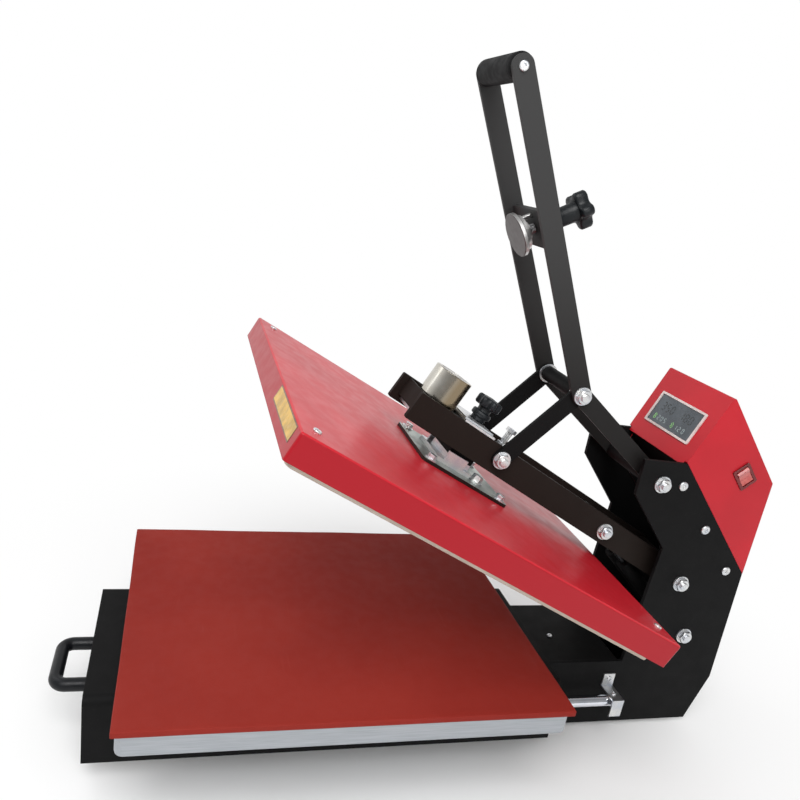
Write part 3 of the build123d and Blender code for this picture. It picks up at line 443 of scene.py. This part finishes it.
def olive_plate(name):
    """Olive-passivated zinc sheet, bright on its face, with its edges made dark as painted shade."""
    shader = Shader(name)
    cloud = shader.remap(shader.noise(40.0, 4.0), 0.35, 0.7)
    face = shader.mix(cloud, tone(0.4, 0.43, 0.39), tone(0.31, 0.35, 0.33))
    shader.surface(
        # Faces turned away from the plate's top are near-black as painted shade.
        Base_Color=shader.mix(shader.facing(PLATEN_UP, 0.45, 0.9), tone(0.03, 0.028, 0.024), face),
        Metallic=0.9,
        Roughness=shader.remap(cloud, 0.0, 1.0, 0.34, 0.46),
    )
    shader.surface(Normal=shader.bump(shader.noise(600.0), 0.00002, 0.4, shader.rounded(0.0005)))
    return shader.material


# ---------------------------------------------------------------- where second colours lie
# Heights over which the lever's painted highlight grows.
LEVER_HIGHLIGHT_Z = (0.42, 0.68)
FLANGE_LINE_START = Vector((0, 299.3, 403.7)) * MM
FLANGE_LINE_DOWN = Vector((0, -0.7548, -0.6559))
BOX_FRONT = Vector((0, -0.7071, 0.7071))
MAGNET_REAR = Vector((0.26, 0.966, 0))


def lever_painted_highlight(shader):
    """Painted highlight: lighter paint towards the handle end of the lever."""
    return shader.along((0, 0, 1), *LEVER_HIGHLIGHT_Z)


def box_flange_painted_shade(shader):
    """Painted shade: black on the box's screw flanges, inside the side plates and below the line where the
    two meet.
    """
    start = FLANGE_LINE_DOWN.dot(FLANGE_LINE_START)
    below = shader.along(FLANGE_LINE_DOWN, start, start + MM)
    lip = shader.facing(BOX_FRONT, 0.3, 0.6)
    return shader.multiply(below, shader.flipped(lip))


def cover_walls_painted_shade(shader):
    """Painted shade: darker red on the cover's four walls than on its top."""
    return shader.facing(PLATEN_UP, 0.6, 0.25)


def magnet_painted_reflection(shader):
    """Painted warm-brown reflection on the magnet's rear side."""
    return shader.facing(MAGNET_REAR, -0.35, 0.35)


def disc_face(shader):
    """Darker faces of the disc, as against its bright rim."""
    axis = Vector(JOINTS["clamp_disc_slide"]["axis"]).normalized()
    rim = shader.multiply(shader.facing(axis, 0.3, 0.0), shader.facing(-axis, 0.3, 0.0))
    return shader.flipped(rim)


# ---------------------------------------------------------------- palette
PAINT_EDGE = tone(0.03, 0.03, 0.032)
# Black paint colour; on the box's flanges it is laid as painted shade.
BLACK_PAINT_AND_SHADE = tone(0.0055, 0.0055, 0.0057)
BLACK = powder_coat("black_powder_coat", BLACK_PAINT_AND_SHADE, 0.6, PAINT_EDGE, 0.015, 0.1)
# The lever's black is lighter than the side plates' black, and lighter still towards the handle end, as
# painted highlight.
LEVER_BLACK = powder_coat(
    "lever_powder_coat", tone(0.0125, 0.012, 0.0115), 0.55, tone(0.06, 0.06, 0.06), 0.02, 0.16,
    (tone(0.042, 0.042, 0.042), lever_painted_highlight))
# The arm's black carries a brown tint as a painted warm reflection of the red cover.
ARM_BLACK = powder_coat("arm_powder_coat", tone(0.0155, 0.0115, 0.0095), 0.6, PAINT_EDGE, 0.015, 0.1)
# The box's red turns black on its flanges as painted shade.
RED = powder_coat(
    "red_powder_coat", tone(0.48, 0.008, 0.018), 0.36, tone(0.6, 0.06, 0.08), 0.02, 0.3,
    (BLACK_PAINT_AND_SHADE, box_flange_painted_shade))
# The cover's walls are a darker red than its top as painted shade.
COVER_RED = powder_coat(
    "cover_powder_coat", tone(0.54, 0.013, 0.024), 0.34, tone(0.55, 0.05, 0.07), 0.02, 0.3,
    (tone(0.36, 0.003, 0.011), cover_walls_painted_shade))
ZINC = plated_metal("zinc_plate", tone(0.8, 0.8, 0.79), tone(0.64, 0.67, 0.72), 0.33)
OLIVE_ZINC = olive_plate("olive_zinc_plate")
CHROME = polished_metal("hard_chrome", tone(0.86, 0.88, 0.92), tone(0.74, 0.77, 0.84), 0.07)
# The magnet's nickel turns warm brown on its rear side as a painted reflection.
NICKEL = polished_metal(
    "polished_nickel", tone(0.6, 0.58, 0.53), tone(0.5, 0.47, 0.41), 0.15,
    (tone(0.27, 0.21, 0.135), magnet_painted_reflection))
DISC_STEEL = polished_metal(
    "ground_disc_steel", tone(0.75, 0.74, 0.73), tone(0.6, 0.59, 0.58), 0.33,
    (tone(0.085, 0.074, 0.073), disc_face))
ALUMINIUM = brushed_aluminium(
    "brushed_aluminium", tone(0.36, 0.385, 0.41), tone(0.46, 0.48, 0.51), tone(0.3, 0.32, 0.34))
HEATED_ALUMINIUM = brushed_aluminium(
    "heated_aluminium", tone(0.5, 0.42, 0.35), tone(0.62, 0.53, 0.45), tone(0.36, 0.27, 0.2))
STEEL = turned_steel("turned_steel", tone(0.5, 0.5, 0.51), 0.25)
# Near-black steel for the gas spring rods.
DARK_STEEL = turned_steel("dark_rod_steel", tone(0.06, 0.06, 0.065), 0.35)
HEATER_STEEL = turned_steel("oxidised_heater_sheath", tone(0.22, 0.2, 0.17), 0.4)
SILICONE = silicone_sponge("silicone_sponge")
RUBBER = moulded_plastic("foot_rubber", tone(0.016, 0.016, 0.017), 0.72, 700.0, 0.00008)
GRIP = moulded_plastic("grip_rubber", tone(0.006, 0.006, 0.0064), 0.62, 1000.0, 0.00008, 0.12)
KNOB = moulded_plastic("knob_phenolic", tone(0.0075, 0.0095, 0.0115), 0.38, 1300.0, 0.00005, 0.3)
HANDLE = moulded_plastic("handle_nylon", tone(0.0065, 0.0072, 0.009), 0.36, 1300.0, 0.00005, 0.25)
HOUSING = moulded_plastic("black_nylon", tone(0.014, 0.0145, 0.016), 0.45)
BEZEL = moulded_plastic("bezel_plastic", tone(0.6, 0.52, 0.5), 0.35)
RELAY = moulded_plastic("relay_case", tone(0.05, 0.05, 0.055), 0.5)
SWITCH = moulded_plastic("switch_frame", tone(0.13, 0.008, 0.009), 0.28)
BUSHING = moulded_plastic("bushing_polymer", tone(0.42, 0.37, 0.27), 0.45)
SCREEN = display_glass("display_glass")
ROCKER = lit_rocker("lit_rocker")
CIRCUIT = circuit_laminate("circuit_laminate")
BLANKET = fibre_blanket("fibre_blanket")
POTTING = moulded_plastic("black_epoxy", tone(0.012, 0.012, 0.013), 0.2, 500.0, 0.00004)
BRASS = plated_metal("tinned_brass", tone(0.78, 0.66, 0.4), tone(0.66, 0.55, 0.34), 0.22)
LABEL = printed_foil("amber_label", tone(0.62, 0.36, 0.035))
LABEL_BORDER = printed_foil("label_border", tone(0.16, 0.07, 0.02))
DIM_DIGITS = lit_digits("dim_digits", tone(0.012, 0.016, 0.018), 0.0)
GREEN_DIGITS = lit_digits("green_digits", tone(0.25, 0.6, 0.17), 0.3)
WHITE_DIGITS = lit_digits("white_digits", tone(0.34, 0.42, 0.42), 0.2)

NODE_MATERIALS = {
    BLACK: [
        "right_side_plate", "left_side_plate", "base_tray", "base_top_plate", "rear_cover_panel",
        # thrust_keeper is black as painted shade inside the thrust bracket.
        "pivot_spacers", "drawer_shell", "knee_spacer", "link_bars", "gas_spring_barrels", "thrust_keeper",
    ],
    ARM_BLACK: ["arm_bar_right", "arm_bar_left", "arm_cross_members"],
    LEVER_BLACK: ["lever_bars", "lever_cross_plate"],
    RED: ["control_box_shell"],
    COVER_RED: ["heat_platen_cover"],
    ZINC: [
        "cross_braces", "pivot_bolt_heads", "rod_rear_brackets", "frame_screws", "drawer_fasteners",
        "pressure_nut_block", "magnet_mount", "height_stop_bolt", "spring_pin", "mount_plate_bolts",
        "cover_screws", "thrust_bracket", "knee_pin", "link_bolts", "grip_screws",
    ],
    OLIVE_ZINC: ["cover_mount_plate"],
    CHROME: ["guide_rods"],
    NICKEL: ["electromagnet"],
    DISC_STEEL: ["armature_disc"],
    ALUMINIUM: ["rod_front_blocks", "bearing_blocks", "lower_platen"],
    HEATED_ALUMINIUM: ["heat_platen"],
    STEEL: ["pivot_shafts"],
    DARK_STEEL: ["gas_spring_rods"],
    HEATER_STEEL: ["heating_element"],
    RUBBER: ["rubber_feet"],
    HANDLE: ["drawer_handle"],
    HOUSING: ["power_inlet"],
    BEZEL: ["display_bezel"],
    SCREEN: ["display_screen"],
    CIRCUIT: ["controller_board"],
    RELAY: ["power_relay"],
    SWITCH: ["switch_housing"],
    ROCKER: ["power_rocker"],
    BUSHING: ["slide_bushings"],
    BLANKET: ["insulation_blanket"],
}


def paint_nodes():
    for material, names in NODE_MATERIALS.items():
        for name in names:
            slots = NODES[name].data.materials
            slots.clear()
            slots.append(material)


# ---------------------------------------------------------------- mesh helpers
def new_piece(name, mesh, material, body, smooth=True):
    """Object from a bmesh, with its material, riding on a body."""
    bmesh.ops.recalc_face_normals(mesh, faces=mesh.faces)
    data = bpy.data.meshes.new(name)
    mesh.to_mesh(data)
    mesh.free()
    for polygon in data.polygons:
        polygon.use_smooth = smooth
    data.materials.append(material)
    piece = bpy.data.objects.new(name, data)
    bpy.context.scene.collection.objects.link(piece)
    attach(piece, body)
    return piece


def sharpen(piece, degrees=35.0):
    """Smooth faces with crisp edges where the faces turn by more than the angle."""
    piece.data.set_sharp_from_angle(angle=math.radians(degrees))
    return piece


def add_rings(mesh, rings, matrix, cap_start=True, cap_end=True):
    """Skin closed rings of points, all of one count, into a tube."""
    loops = [[mesh.verts.new(matrix @ Vector(point)) for point in ring] for ring in rings]
    count = len(loops[0])
    for low, high in zip(loops, loops[1:]):
        for index in range(count):
            after = (index + 1) % count
            mesh.faces.new((low[index], low[after], high[after], high[index]))
    if cap_start:
        mesh.faces.new(loops[0][::-1])
    if cap_end:
        mesh.faces.new(loops[-1])
    return loops


def circle(radius, height, count):
    steps = [2 * math.pi * index / count for index in range(count)]
    return [(radius * math.cos(step), radius * math.sin(step), height) for step in steps]


def add_lathe(mesh, profile, matrix, count=48):
    """Turned body from (radius, height) points, closed at both ends."""
    add_rings(mesh, [circle(radius, height, count) for radius, height in profile], matrix)


def add_hollow_lathe(mesh, profile, matrix, count=48):
    """Turned ring from a closed profile of (radius, height) points."""
    rings = [circle(radius, height, count) for radius, height in profile]
    loops = add_rings(mesh, rings, matrix, False, False)
    for index in range(count):
        after = (index + 1) % count
        mesh.faces.new((loops[-1][index], loops[-1][after], loops[0][after], loops[0][index]))


def add_thread(mesh, radius, pitch, length, matrix, count=20):
    """Screw thread standing on z, with a pointed start."""
    per_turn = 6
    depth = 0.3 * pitch
    steps = int(length / pitch * per_turn)
    rings = []
    for step in range(steps + 1):
        height = length * step / steps
        tip = min(1.0, (length - height) / (0.7 * pitch) + 0.55)
        ring = []
        for index in range(count):
            share = index / count
            phase = (height / pitch - share) % 1.0
            crest = 1.0 - abs(2.0 * phase - 1.0)
            reach_out = (radius - depth * crest) * min(1.0, tip + 0.2)
            angle = 2 * math.pi * share
            ring.append((reach_out * math.cos(angle), reach_out * math.sin(angle), height))
        rings.append(ring)
    add_rings(mesh, rings, matrix)


def add_panel(mesh, width, height, thickness, matrix, corner=0.0, segments=6):
    """Thin plate with round corners, standing on z."""
    outline = []
    for x_side, y_side, start in ((1, 1, 0), (-1, 1, 90), (-1, -1, 180), (1, -1, 270)):
        for step in range(segments + 1):
            angle = math.radians(start + 90.0 * step / segments)
            x = x_side * (width / 2 - corner) + corner * math.cos(angle)
            y = y_side * (height / 2 - corner) + corner * math.sin(angle)
            outline.append((x, y))
    edge = min(thickness * 0.4, corner * 0.5)
    shrink = [1.0 - 2 * edge / width, 1.0 - 2 * edge / height]
    rings = [
        [(x, y, 0.0) for x, y in outline],
        [(x, y, thickness - edge) for x, y in outline],
        [(x * shrink[0], y * shrink[1], thickness) for x, y in outline],
    ]
    add_rings(mesh, rings, matrix)


# ---------------------------------------------------------------- soft and moulded pieces
def silicone_mat():
    """The sponge mat: a slab with rounded edges that lies a little uneven."""
    low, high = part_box("silicone_pad")
    size = high - low
    columns, rows = 56, 70
    mesh = bmesh.new()
    bmesh.ops.create_grid(mesh, x_segments=columns, y_segments=rows, size=0.5)
    bmesh.ops.scale(mesh, vec=(size.x, size.y, 1.0), verts=mesh.verts)
    bmesh.ops.translate(mesh, vec=((low.x + high.x) / 2, (low.y + high.y) / 2, low.z), verts=mesh.verts)
    top = bmesh.ops.extrude_face_region(mesh, geom=mesh.faces[:])
    raised = [item for item in top["geom"] if isinstance(item, bmesh.types.BMVert)]
    bmesh.ops.translate(mesh, vec=(0, 0, size.z), verts=raised)
    bmesh.ops.recalc_face_normals(mesh, faces=mesh.faces)
    rims = [edge for edge in mesh.edges if edge.calc_face_angle(0.0) > math.radians(60)]
    bmesh.ops.bevel(mesh, geom=rims, offset=0.0014, segments=3, profile=0.5, affect="EDGES")
    inset = 0.0012
    for vertex in mesh.verts:
        point = vertex.co
        side_x = abs(point.x - (low.x + high.x) / 2) / (size.x / 2)
        side_y = abs(point.y - (low.y + high.y) / 2) / (size.y / 2)
        near_edge = max(side_x, side_y) ** 12
        wave = noise.noise(Vector((point.x * 16, point.y * 16, 0.3)))
        sink = (0.35 + 0.45 * wave) * 0.0012 * near_edge
        share = (point.z - low.z) / size.z
        point.z -= max(0.0, sink) * share
        bow = noise.noise(Vector((point.x * 9, point.y * 9, 4.1)))
        point.x -= math.copysign(inset * (0.5 + 0.5 * bow) * side_x ** 12, point.x - (low.x + high.x) / 2)
        point.y -= math.copysign(inset * (0.5 + 0.5 * bow) * side_y ** 12, point.y - (low.y + high.y) / 2)
    piece = new_piece("silicone_mat", mesh, SILICONE, "drawer")
    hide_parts("silicone_pad")


def grip_sleeve():
    """Smooth rubber grip tube with rounded ends and faint mould rings near them."""
    low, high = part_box("lever_grip")
    radius = (high.z - low.z) / 2
    half = high.x
    centre = Vector((0, (low.y + high.y) / 2, (low.z + high.z) / 2))
    place = frame_at(centre, Vector((0, 1, 0)), X_AXIS)
    ring, groove = 0.0045, 0.0004
    side = [(radius * 0.8, half), (radius * 0.95, half - 0.0005), (radius, half - 0.002)]
    side += [(radius, half - ring), (radius - groove, half - ring - 0.0004), (radius, half - ring - 0.0008)]
    profile = [(reach_out, -height) for reach_out, height in side]
    profile += [(radius * (1.0 - 0.006 * share), 0.6 * half * (2 * share - 1)) for share in (0.0, 0.5, 1.0)]
    profile += side[::-1]
    mesh = bmesh.new()
    add_lathe(mesh, profile, place, 64)
    piece = sharpen(new_piece("grip_sleeve", mesh, GRIP, "lever"))
    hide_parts("lever_grip")


def star_profile(radius, lobes, depth, count):
    """Radius at each step round a star grip with soft lobes."""
    radii = []
    for index in range(count):
        phase = math.cos(lobes * 2 * math.pi * index / count)
        lobe = 0.5 + 0.5 * math.copysign(abs(phase) ** 0.7, phase)
        radii.append(radius - depth * (1.0 - lobe))
    return radii


def add_star_knob(mesh, matrix, radius, lobes, depth, thickness, hub):
    """Star grip on a turned hub of (radius, height) points; the hub starts at z = 0."""
    count = lobes * 16
    radii = star_profile(radius, lobes, depth, count)
    hub_length = hub[-1][1]
    round_edge = 0.0022
    star_layers = [(0.0, round_edge), (0.0007, round_edge * 0.45), (round_edge, 0.0)]
    star_layers += [(thickness - round_edge, 0.0), (thickness - 0.0007, round_edge * 0.45)]
    star_layers += [(thickness, round_edge)]
    rings = [circle(reach_out, height, count) for reach_out, height in hub]
    for height, inward in star_layers:
        rings.append([
            ((value - inward) * math.cos(2 * math.pi * index / count),
             (value - inward) * math.sin(2 * math.pi * index / count),
             hub_length + height)
            for index, value in enumerate(radii)
        ])
    top = hub_length + thickness
    cap = [(0.5, 0.0002), (0.465, -0.0009), (0.42, -0.0009), (0.39, 0.0003), (0.25, 0.0009), (0.05, 0.0011)]
    rings += [circle(radius * share, top + lift, count) for share, lift in cap]
    add_rings(mesh, rings, matrix)


def pressure_knob():
    """Star knob on the pressure screw, with a sleeve and a flange below the grip."""
    point, axis = joint_axis("pressure_screw_spin")
    low, high = reach("pressure_knob", axis)
    base = point + axis * (low - point.dot(axis))
    sleeve, flange_top, neck_top = 0.0088, 0.016, 0.0215
    hub = [
        (0.009, 0.0), (0.0095, 0.0005), (0.0095, sleeve),
        (0.0117, sleeve), (0.0125, sleeve + 0.0008),
        (0.0125, flange_top - 0.0012), (0.0115, flange_top),
        (0.0088, flange_top + 0.0004), (0.0085, flange_top + 0.0012), (0.0088, neck_top),
    ]
    mesh = bmesh.new()
    place = frame_at(base, X_AXIS, axis)
    add_star_knob(mesh, place, 0.0165, 6, 0.0042, high - low - neck_top - 0.0012, hub)
    piece = sharpen(new_piece("pressure_star_knob", mesh, KNOB, "pressure_adjuster"), 50)
    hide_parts("pressure_knob")


def pressure_screw():
    """Collar and threaded shank of the pressure screw."""
    point, axis = joint_axis("pressure_screw_spin")
    low, high = reach("pressure_screw", axis)
    base = point + axis * (low - point.dot(axis))
    place = frame_at(base, X_AXIS, axis)
    collar_height = 0.006
    mesh = bmesh.new()
    collar = [(0.0092, 0.0), (0.00995, 0.0007), (0.00995, collar_height - 0.0007), (0.0092, collar_height)]
    add_lathe(mesh, collar, place)
    shank = place @ Matrix.Translation((0, 0, collar_height))
    add_thread(mesh, 0.006, 0.00175, high - low - collar_height, shank, 24)
    piece = sharpen(new_piece("pressure_screw_thread", mesh, STEEL, "pressure_adjuster"), 50)
    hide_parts("pressure_screw")


def clamp_knob():
    """Star knob of the clamp screw with its long hub, and the screw's thread."""
    point, axis = joint_axis("clamp_knob_spin")
    low, high = reach("clamp_knob", axis)
    start = point + axis * (low - point.dot(axis))
    end = point + axis * (high - point.dot(axis))
    knob_length, hub_length = 0.0405, 0.0245
    base = end - axis * knob_length
    hub = [(0.0101, 0.0), (0.011, 0.0008), (0.0112, hub_length * 0.86), (0.0128, hub_length)]
    mesh = bmesh.new()
    place = frame_at(base, X_AXIS, axis)
    add_star_knob(mesh, place, 0.022, 5, 0.0062, knob_length - hub_length - 0.0012, hub)
    knob = sharpen(new_piece("clamp_star_knob", mesh, KNOB, "clamp_adjuster"), 50)
    mesh = bmesh.new()
    length = (base - start).length + 0.004
    add_thread(mesh, 0.006, 0.00175, length, frame_at(start, X_AXIS, axis), 24)
    screw = sharpen(new_piece("clamp_screw_thread", mesh, STEEL, "clamp_adjuster"), 50)
    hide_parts("clamp_knob")
    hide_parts("clamp_knob")


def bolt_ends():
    """Threaded bolt ends that stand out of the pivot nuts."""
    low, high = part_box("link_bolts")
    link_pin = Vector((0, (low.y + high.y) / 2, (low.z + high.z) / 2))
    low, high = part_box("spring_pin")
    arm_pin = Vector((0, (low.y + high.y) / 2, (low.z + high.z) / 2))
    hinges = [Vector(JOINTS[name]["pos_m"]) for name in ("lever_hinge", "arm_hinge", "spring_barrel_hinge")]
    places = {
        "frame": (hinges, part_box("pivot_bolt_heads")[1].x),
        "lever": ([Vector(JOINTS["link_hinge"]["pos_m"])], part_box("knee_pin")[1].x),
        "link": ([link_pin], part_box("link_bolts")[1].x),
        "arm": ([arm_pin], high.x),
    }
    stand = 0.0012
    radius = 0.0052
    for body, (centres, x_face) in places.items():
        mesh = bmesh.new()
        for centre in centres:
            for side in (-1, 1):
                start = Vector((side * (x_face - 0.0015), centre.y, centre.z))
                place = frame_at(start, Vector((0, 1, 0)), X_AXIS * side)
                add_thread(mesh, radius, 0.0015, 0.0015 + stand, place)
        sharpen(new_piece("bolt_ends_" + body, mesh, ZINC, body), 50)


def magnet_potting():
    """Epoxy in the magnet's winding slot."""
    axis = Vector(JOINTS["platen_height_slide"]["axis"]).normalized()
    low, high = closed_box("electromagnet")
    centre = Vector(((low.x + high.x) / 2, (low.y + high.y) / 2, high.z))
    place = frame_at(OPEN @ centre, X_AXIS, axis)
    inner, outer, deep, rise = 0.01005, 0.01795, -0.00078, -0.0002
    profile = [(inner, deep), (outer, deep), (outer, rise), (outer - 0.0012, rise + 0.0001)]
    profile += [(inner + 0.0012, rise + 0.0001), (inner, rise)]
    mesh = bmesh.new()
    add_hollow_lathe(mesh, profile, place, 72)
    sharpen(new_piece("magnet_potting", mesh, POTTING, "arm"))


def cover_label():
    """Plain amber plate with a dark border on the cover's front wall; it carries no lettering."""
    low, high = closed_box("heat_platen_cover")
    right = 0.0168
    width = 0.117
    bottom, top = 0.0105, 0.0285
    centre = Vector((high.x - right - width / 2, low.y, low.z + (bottom + top) / 2))
    facing = frame_at(centre, X_AXIS, Vector((0, -1, 0)))
    mesh = bmesh.new()
    add_panel(mesh, width, top - bottom, 0.00025, OPEN @ facing, 0.0012)
    new_piece("label_border", mesh, LABEL_BORDER, "platen", False)
    mesh = bmesh.new()
    add_panel(mesh, width - 0.003, top - bottom - 0.003, 0.00038, OPEN @ facing, 0.0008)
    new_piece("label_field", mesh, LABEL, "platen", False)


# ---------------------------------------------------------------- display
SEGMENTS = {
    "0": "abcdef", "1": "bc", "2": "abged", "3": "abgcd", "4": "fgbc",
    "5": "afgcd", "6": "afgedc", "7": "abc", "8": "abcdefg", "9": "abcdfg",
}
SEGMENT_PLACES = {
    "a": (0.0, 1.0, True), "g": (0.0, 0.0, True), "d": (0.0, -1.0, True),
    "f": (-0.5, 0.5, False), "b": (0.5, 0.5, False), "e": (-0.5, -0.5, False), "c": (0.5, -0.5, False),
}


def add_digit(mesh, digit, place, x, y, height):
    """Seven-segment numeral centred on (x, y) of the display's face."""
    stroke = height * 0.13
    arm = height * 0.5
    for segment in SEGMENTS[digit]:
        across, up, level = SEGMENT_PLACES[segment]
        centre = Matrix.Translation((x + across * arm, y + up * arm, 0.0))
        length = arm - stroke * 1.15
        width, tall = (length, stroke) if level else (stroke, length)
        add_panel(mesh, width, tall, 0.00012, place @ centre, stroke * 0.3, 2)


def display_face():
    """Middle of the display's face: its matrix and its height up the slope."""
    points = points_of("display_screen")
    bottom = min(points, key=lambda point: point.y)
    top = max(points, key=lambda point: point.z)
    up = Vector((0, top.y - bottom.y, top.z - bottom.z))
    centre = Vector((0, (top.y + bottom.y) / 2, (top.z + bottom.z) / 2))
    return frame_at(centre, X_AXIS, X_AXIS.cross(up)), up.length


def add_row(mesh, digits, place, start, y, height, pitch):
    for index, digit in enumerate(digits):
        if digit != " ":
            add_digit(mesh, digit, place, start + pitch * index, y, height)


def display_digits():
    """Unlit temperature and time digits, with a lit row of small set values below."""
    place, tall = display_face()
    upper, lower = 0.14 * tall, -0.29 * tall
    rows = (
        ("dim_digits", DIM_DIGITS, upper, 0.0105, (("350", -0.0285, 0.0092), ("180", 0.010, 0.0092))),
        ("green_digits", GREEN_DIGITS, lower, 0.0066, (("8", -0.0325, 0.005), ("8", 0.0045, 0.005))),
        ("white_digits", WHITE_DIGITS, lower, 0.006, (("205", -0.025, 0.0068), ("120", 0.0125, 0.0074))),
    )
    for name, material, up, height, groups in rows:
        mesh = bmesh.new()
        for digits, start, pitch in groups:
            add_row(mesh, digits, place, start, up, height, pitch)
        new_piece(name, mesh, material, "frame", False)


def inlet_pins():
    """Tinned pins of the appliance inlet."""
    low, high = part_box("power_inlet")
    middle_z = (low.z + high.z) / 2
    mesh = bmesh.new()
    for x, lift in ((-0.007, -0.0025), (0.0, 0.0025), (0.007, -0.0025)):
        start = Vector((x, high.y - 0.0185, middle_z + lift))
        place = frame_at(start, X_AXIS, Vector((0, 1, 0)))
        add_panel(mesh, 0.0023, 0.0043, 0.0165, place, 0.0006, 3)
    new_piece("inlet_pins", mesh, BRASS, "frame", False)


# ---------------------------------------------------------------- studio
def look_matrix(origin, back, roll):
    """Camera or lamp orientation that looks against back, turned by a roll."""
    right = Vector((-back.y, back.x, 0)).normalized()
    up = back.cross(right)
    turned_right = right * math.cos(roll) + up * math.sin(roll)
    turned_up = back.cross(turned_right)
    rotation = Matrix((turned_right, turned_up, back)).transposed().to_4x4()
    return Matrix.Translation(origin) @ rotation


def direction(azimuth, elevation):
    a, e = math.radians(azimuth), math.radians(elevation)
    return Vector((math.sin(a) * math.cos(e), -math.cos(a) * math.cos(e), math.sin(e)))


def add_camera():
    aim = Vector((0.0, -0.10483, 0.42260))
    back = direction(75.02, 18.78)
    data = bpy.data.cameras.new("camera")
    data.lens = 33.2247
    data.sensor_width = 36.0
    data.shift_x = 0.04916
    data.shift_y = 0.01396
    camera = bpy.data.objects.new("camera", data)
    camera.matrix_world = look_matrix(aim + back * 0.8632, back, math.radians(8.325))
    bpy.context.scene.collection.objects.link(camera)
    bpy.context.scene.camera = camera


SOFTBOXES = (
    ("key_light", 68.0, 50.0, 2.4, 1.6, 48.0),
    ("front_light", -30.0, 40.0, 2.4, 1.5, 10.0),
    ("right_light", 102.0, 22.0, 2.2, 0.9, 9.0),
)


def add_softbox(name, azimuth, elevation, distance, size, watts):
    """Square soft light aimed at the machine's middle."""
    middle = (CAD_BOX[0] + CAD_BOX[1]) / 2
    back = direction(azimuth, elevation)
    data = bpy.data.lights.new(name, "AREA")
    data.size = size
    data.energy = watts
    lamp = bpy.data.objects.new(name, data)
    lamp.matrix_world = look_matrix(middle + back * distance, back, 0.0)
    bpy.context.scene.collection.objects.link(lamp)


def add_world():
    """White surroundings: bright low on the machine's left, dimmer on its right and overhead."""
    world = bpy.data.worlds.new("studio")
    bpy.context.scene.world = world
    world.use_nodes = True
    tree = world.node_tree
    background = tree.nodes["Background"]
    place = tree.nodes.new("ShaderNodeTexCoord")
    split = tree.nodes.new("ShaderNodeSeparateXYZ")
    tree.links.new(place.outputs["Generated"], split.inputs[0])
    product = tree.nodes.new("ShaderNodeMath")
    product.operation = "MULTIPLY"
    ramps = (("X", -0.35, 0.75, 1.0, 0.35), ("Z", 0.35, 0.85, 1.0, 0.45))
    for index, (axis, low, high, start, end) in enumerate(ramps):
        ramp = tree.nodes.new("ShaderNodeMapRange")
        ramp.interpolation_type = "SMOOTHSTEP"
        for name, value in (("From Min", low), ("From Max", high), ("To Min", start), ("To Max", end)):
            ramp.inputs[name].default_value = value
        tree.links.new(split.outputs[axis], ramp.inputs["Value"])
        tree.links.new(ramp.outputs["Result"], product.inputs[index])
    seen = tree.nodes.new("ShaderNodeLightPath")
    choose = tree.nodes.new("ShaderNodeMix")
    choose.inputs["B"].default_value = 1.0
    tree.links.new(seen.outputs["Is Camera Ray"], choose.inputs["Factor"])
    tree.links.new(product.outputs[0], choose.inputs["A"])
    tree.links.new(choose.outputs[0], background.inputs["Strength"])
    background.inputs["Color"].default_value = (1.0, 1.0, 1.0, 1.0)


def add_floor():
    """Pale floor that fades into the white surroundings away from the machine."""
    mesh = bmesh.new()
    rings = 24
    radius = 7.0
    hub = 0.05
    bmesh.ops.create_circle(mesh, cap_ends=False, radius=hub, segments=64)
    edge = mesh.edges[:]
    for ring in range(1, rings + 1):
        grown = bmesh.ops.extrude_edge_only(mesh, edges=edge)["geom"]
        fresh = [item for item in grown if isinstance(item, bmesh.types.BMVert)]
        edge = [item for item in grown if isinstance(item, bmesh.types.BMEdge)]
        reach_out = hub + (radius - hub) * (ring / rings) ** 2
        for vertex in fresh:
            vertex.co = vertex.co.normalized() * reach_out
    hole = [item for item in mesh.edges if item.is_boundary and item.verts[0].co.length < hub * 1.2]
    bmesh.ops.contextual_create(mesh, geom=hole)
    data = bpy.data.meshes.new("floor")
    mesh.to_mesh(data)
    mesh.free()
    floor = bpy.data.objects.new("floor", data)
    bpy.context.scene.collection.objects.link(floor)
    data.materials.append(floor_material())


def floor_material():
    shader = Shader("studio_floor")
    shader.surface(
        Base_Color=shader.mix(shader.noise(3.0), tone(0.92, 0.92, 0.92), tone(0.95, 0.95, 0.95)),
        Roughness=0.75,
    )
    length = shader.tree.nodes.new("ShaderNodeVectorMath")
    length.operation = "LENGTH"
    shader.tree.links.new(shader.place, length.inputs[0])
    far = shader.remap(length.outputs["Value"], 0.2, 0.85)
    glow = shader.add("ShaderNodeEmission", Color=tone(1.0, 1.0, 1.0), Strength=1.0)
    blend = shader.tree.nodes.new("ShaderNodeMixShader")
    shader.tree.links.new(far, blend.inputs[0])
    shader.tree.links.new(shader.principled.outputs[0], blend.inputs[1])
    shader.tree.links.new(glow.outputs[0], blend.inputs[2])
    output = next(node for node in shader.tree.nodes if node.type == "OUTPUT_MATERIAL")
    shader.tree.links.new(blend.outputs[0], output.inputs["Surface"])
    return shader.material


def build():
    add_camera()
    paint_nodes()
    silicone_mat()
    grip_sleeve()
    pressure_knob()
    pressure_screw()
    clamp_knob()
    bolt_ends()
    magnet_potting()
    cover_label()
    display_digits()
    inlet_pins()
    add_world()
    add_floor()
    for softbox in SOFTBOXES:
        add_softbox(*softbox)
    bpy.context.scene.view_settings.view_transform = "Standard"


build()
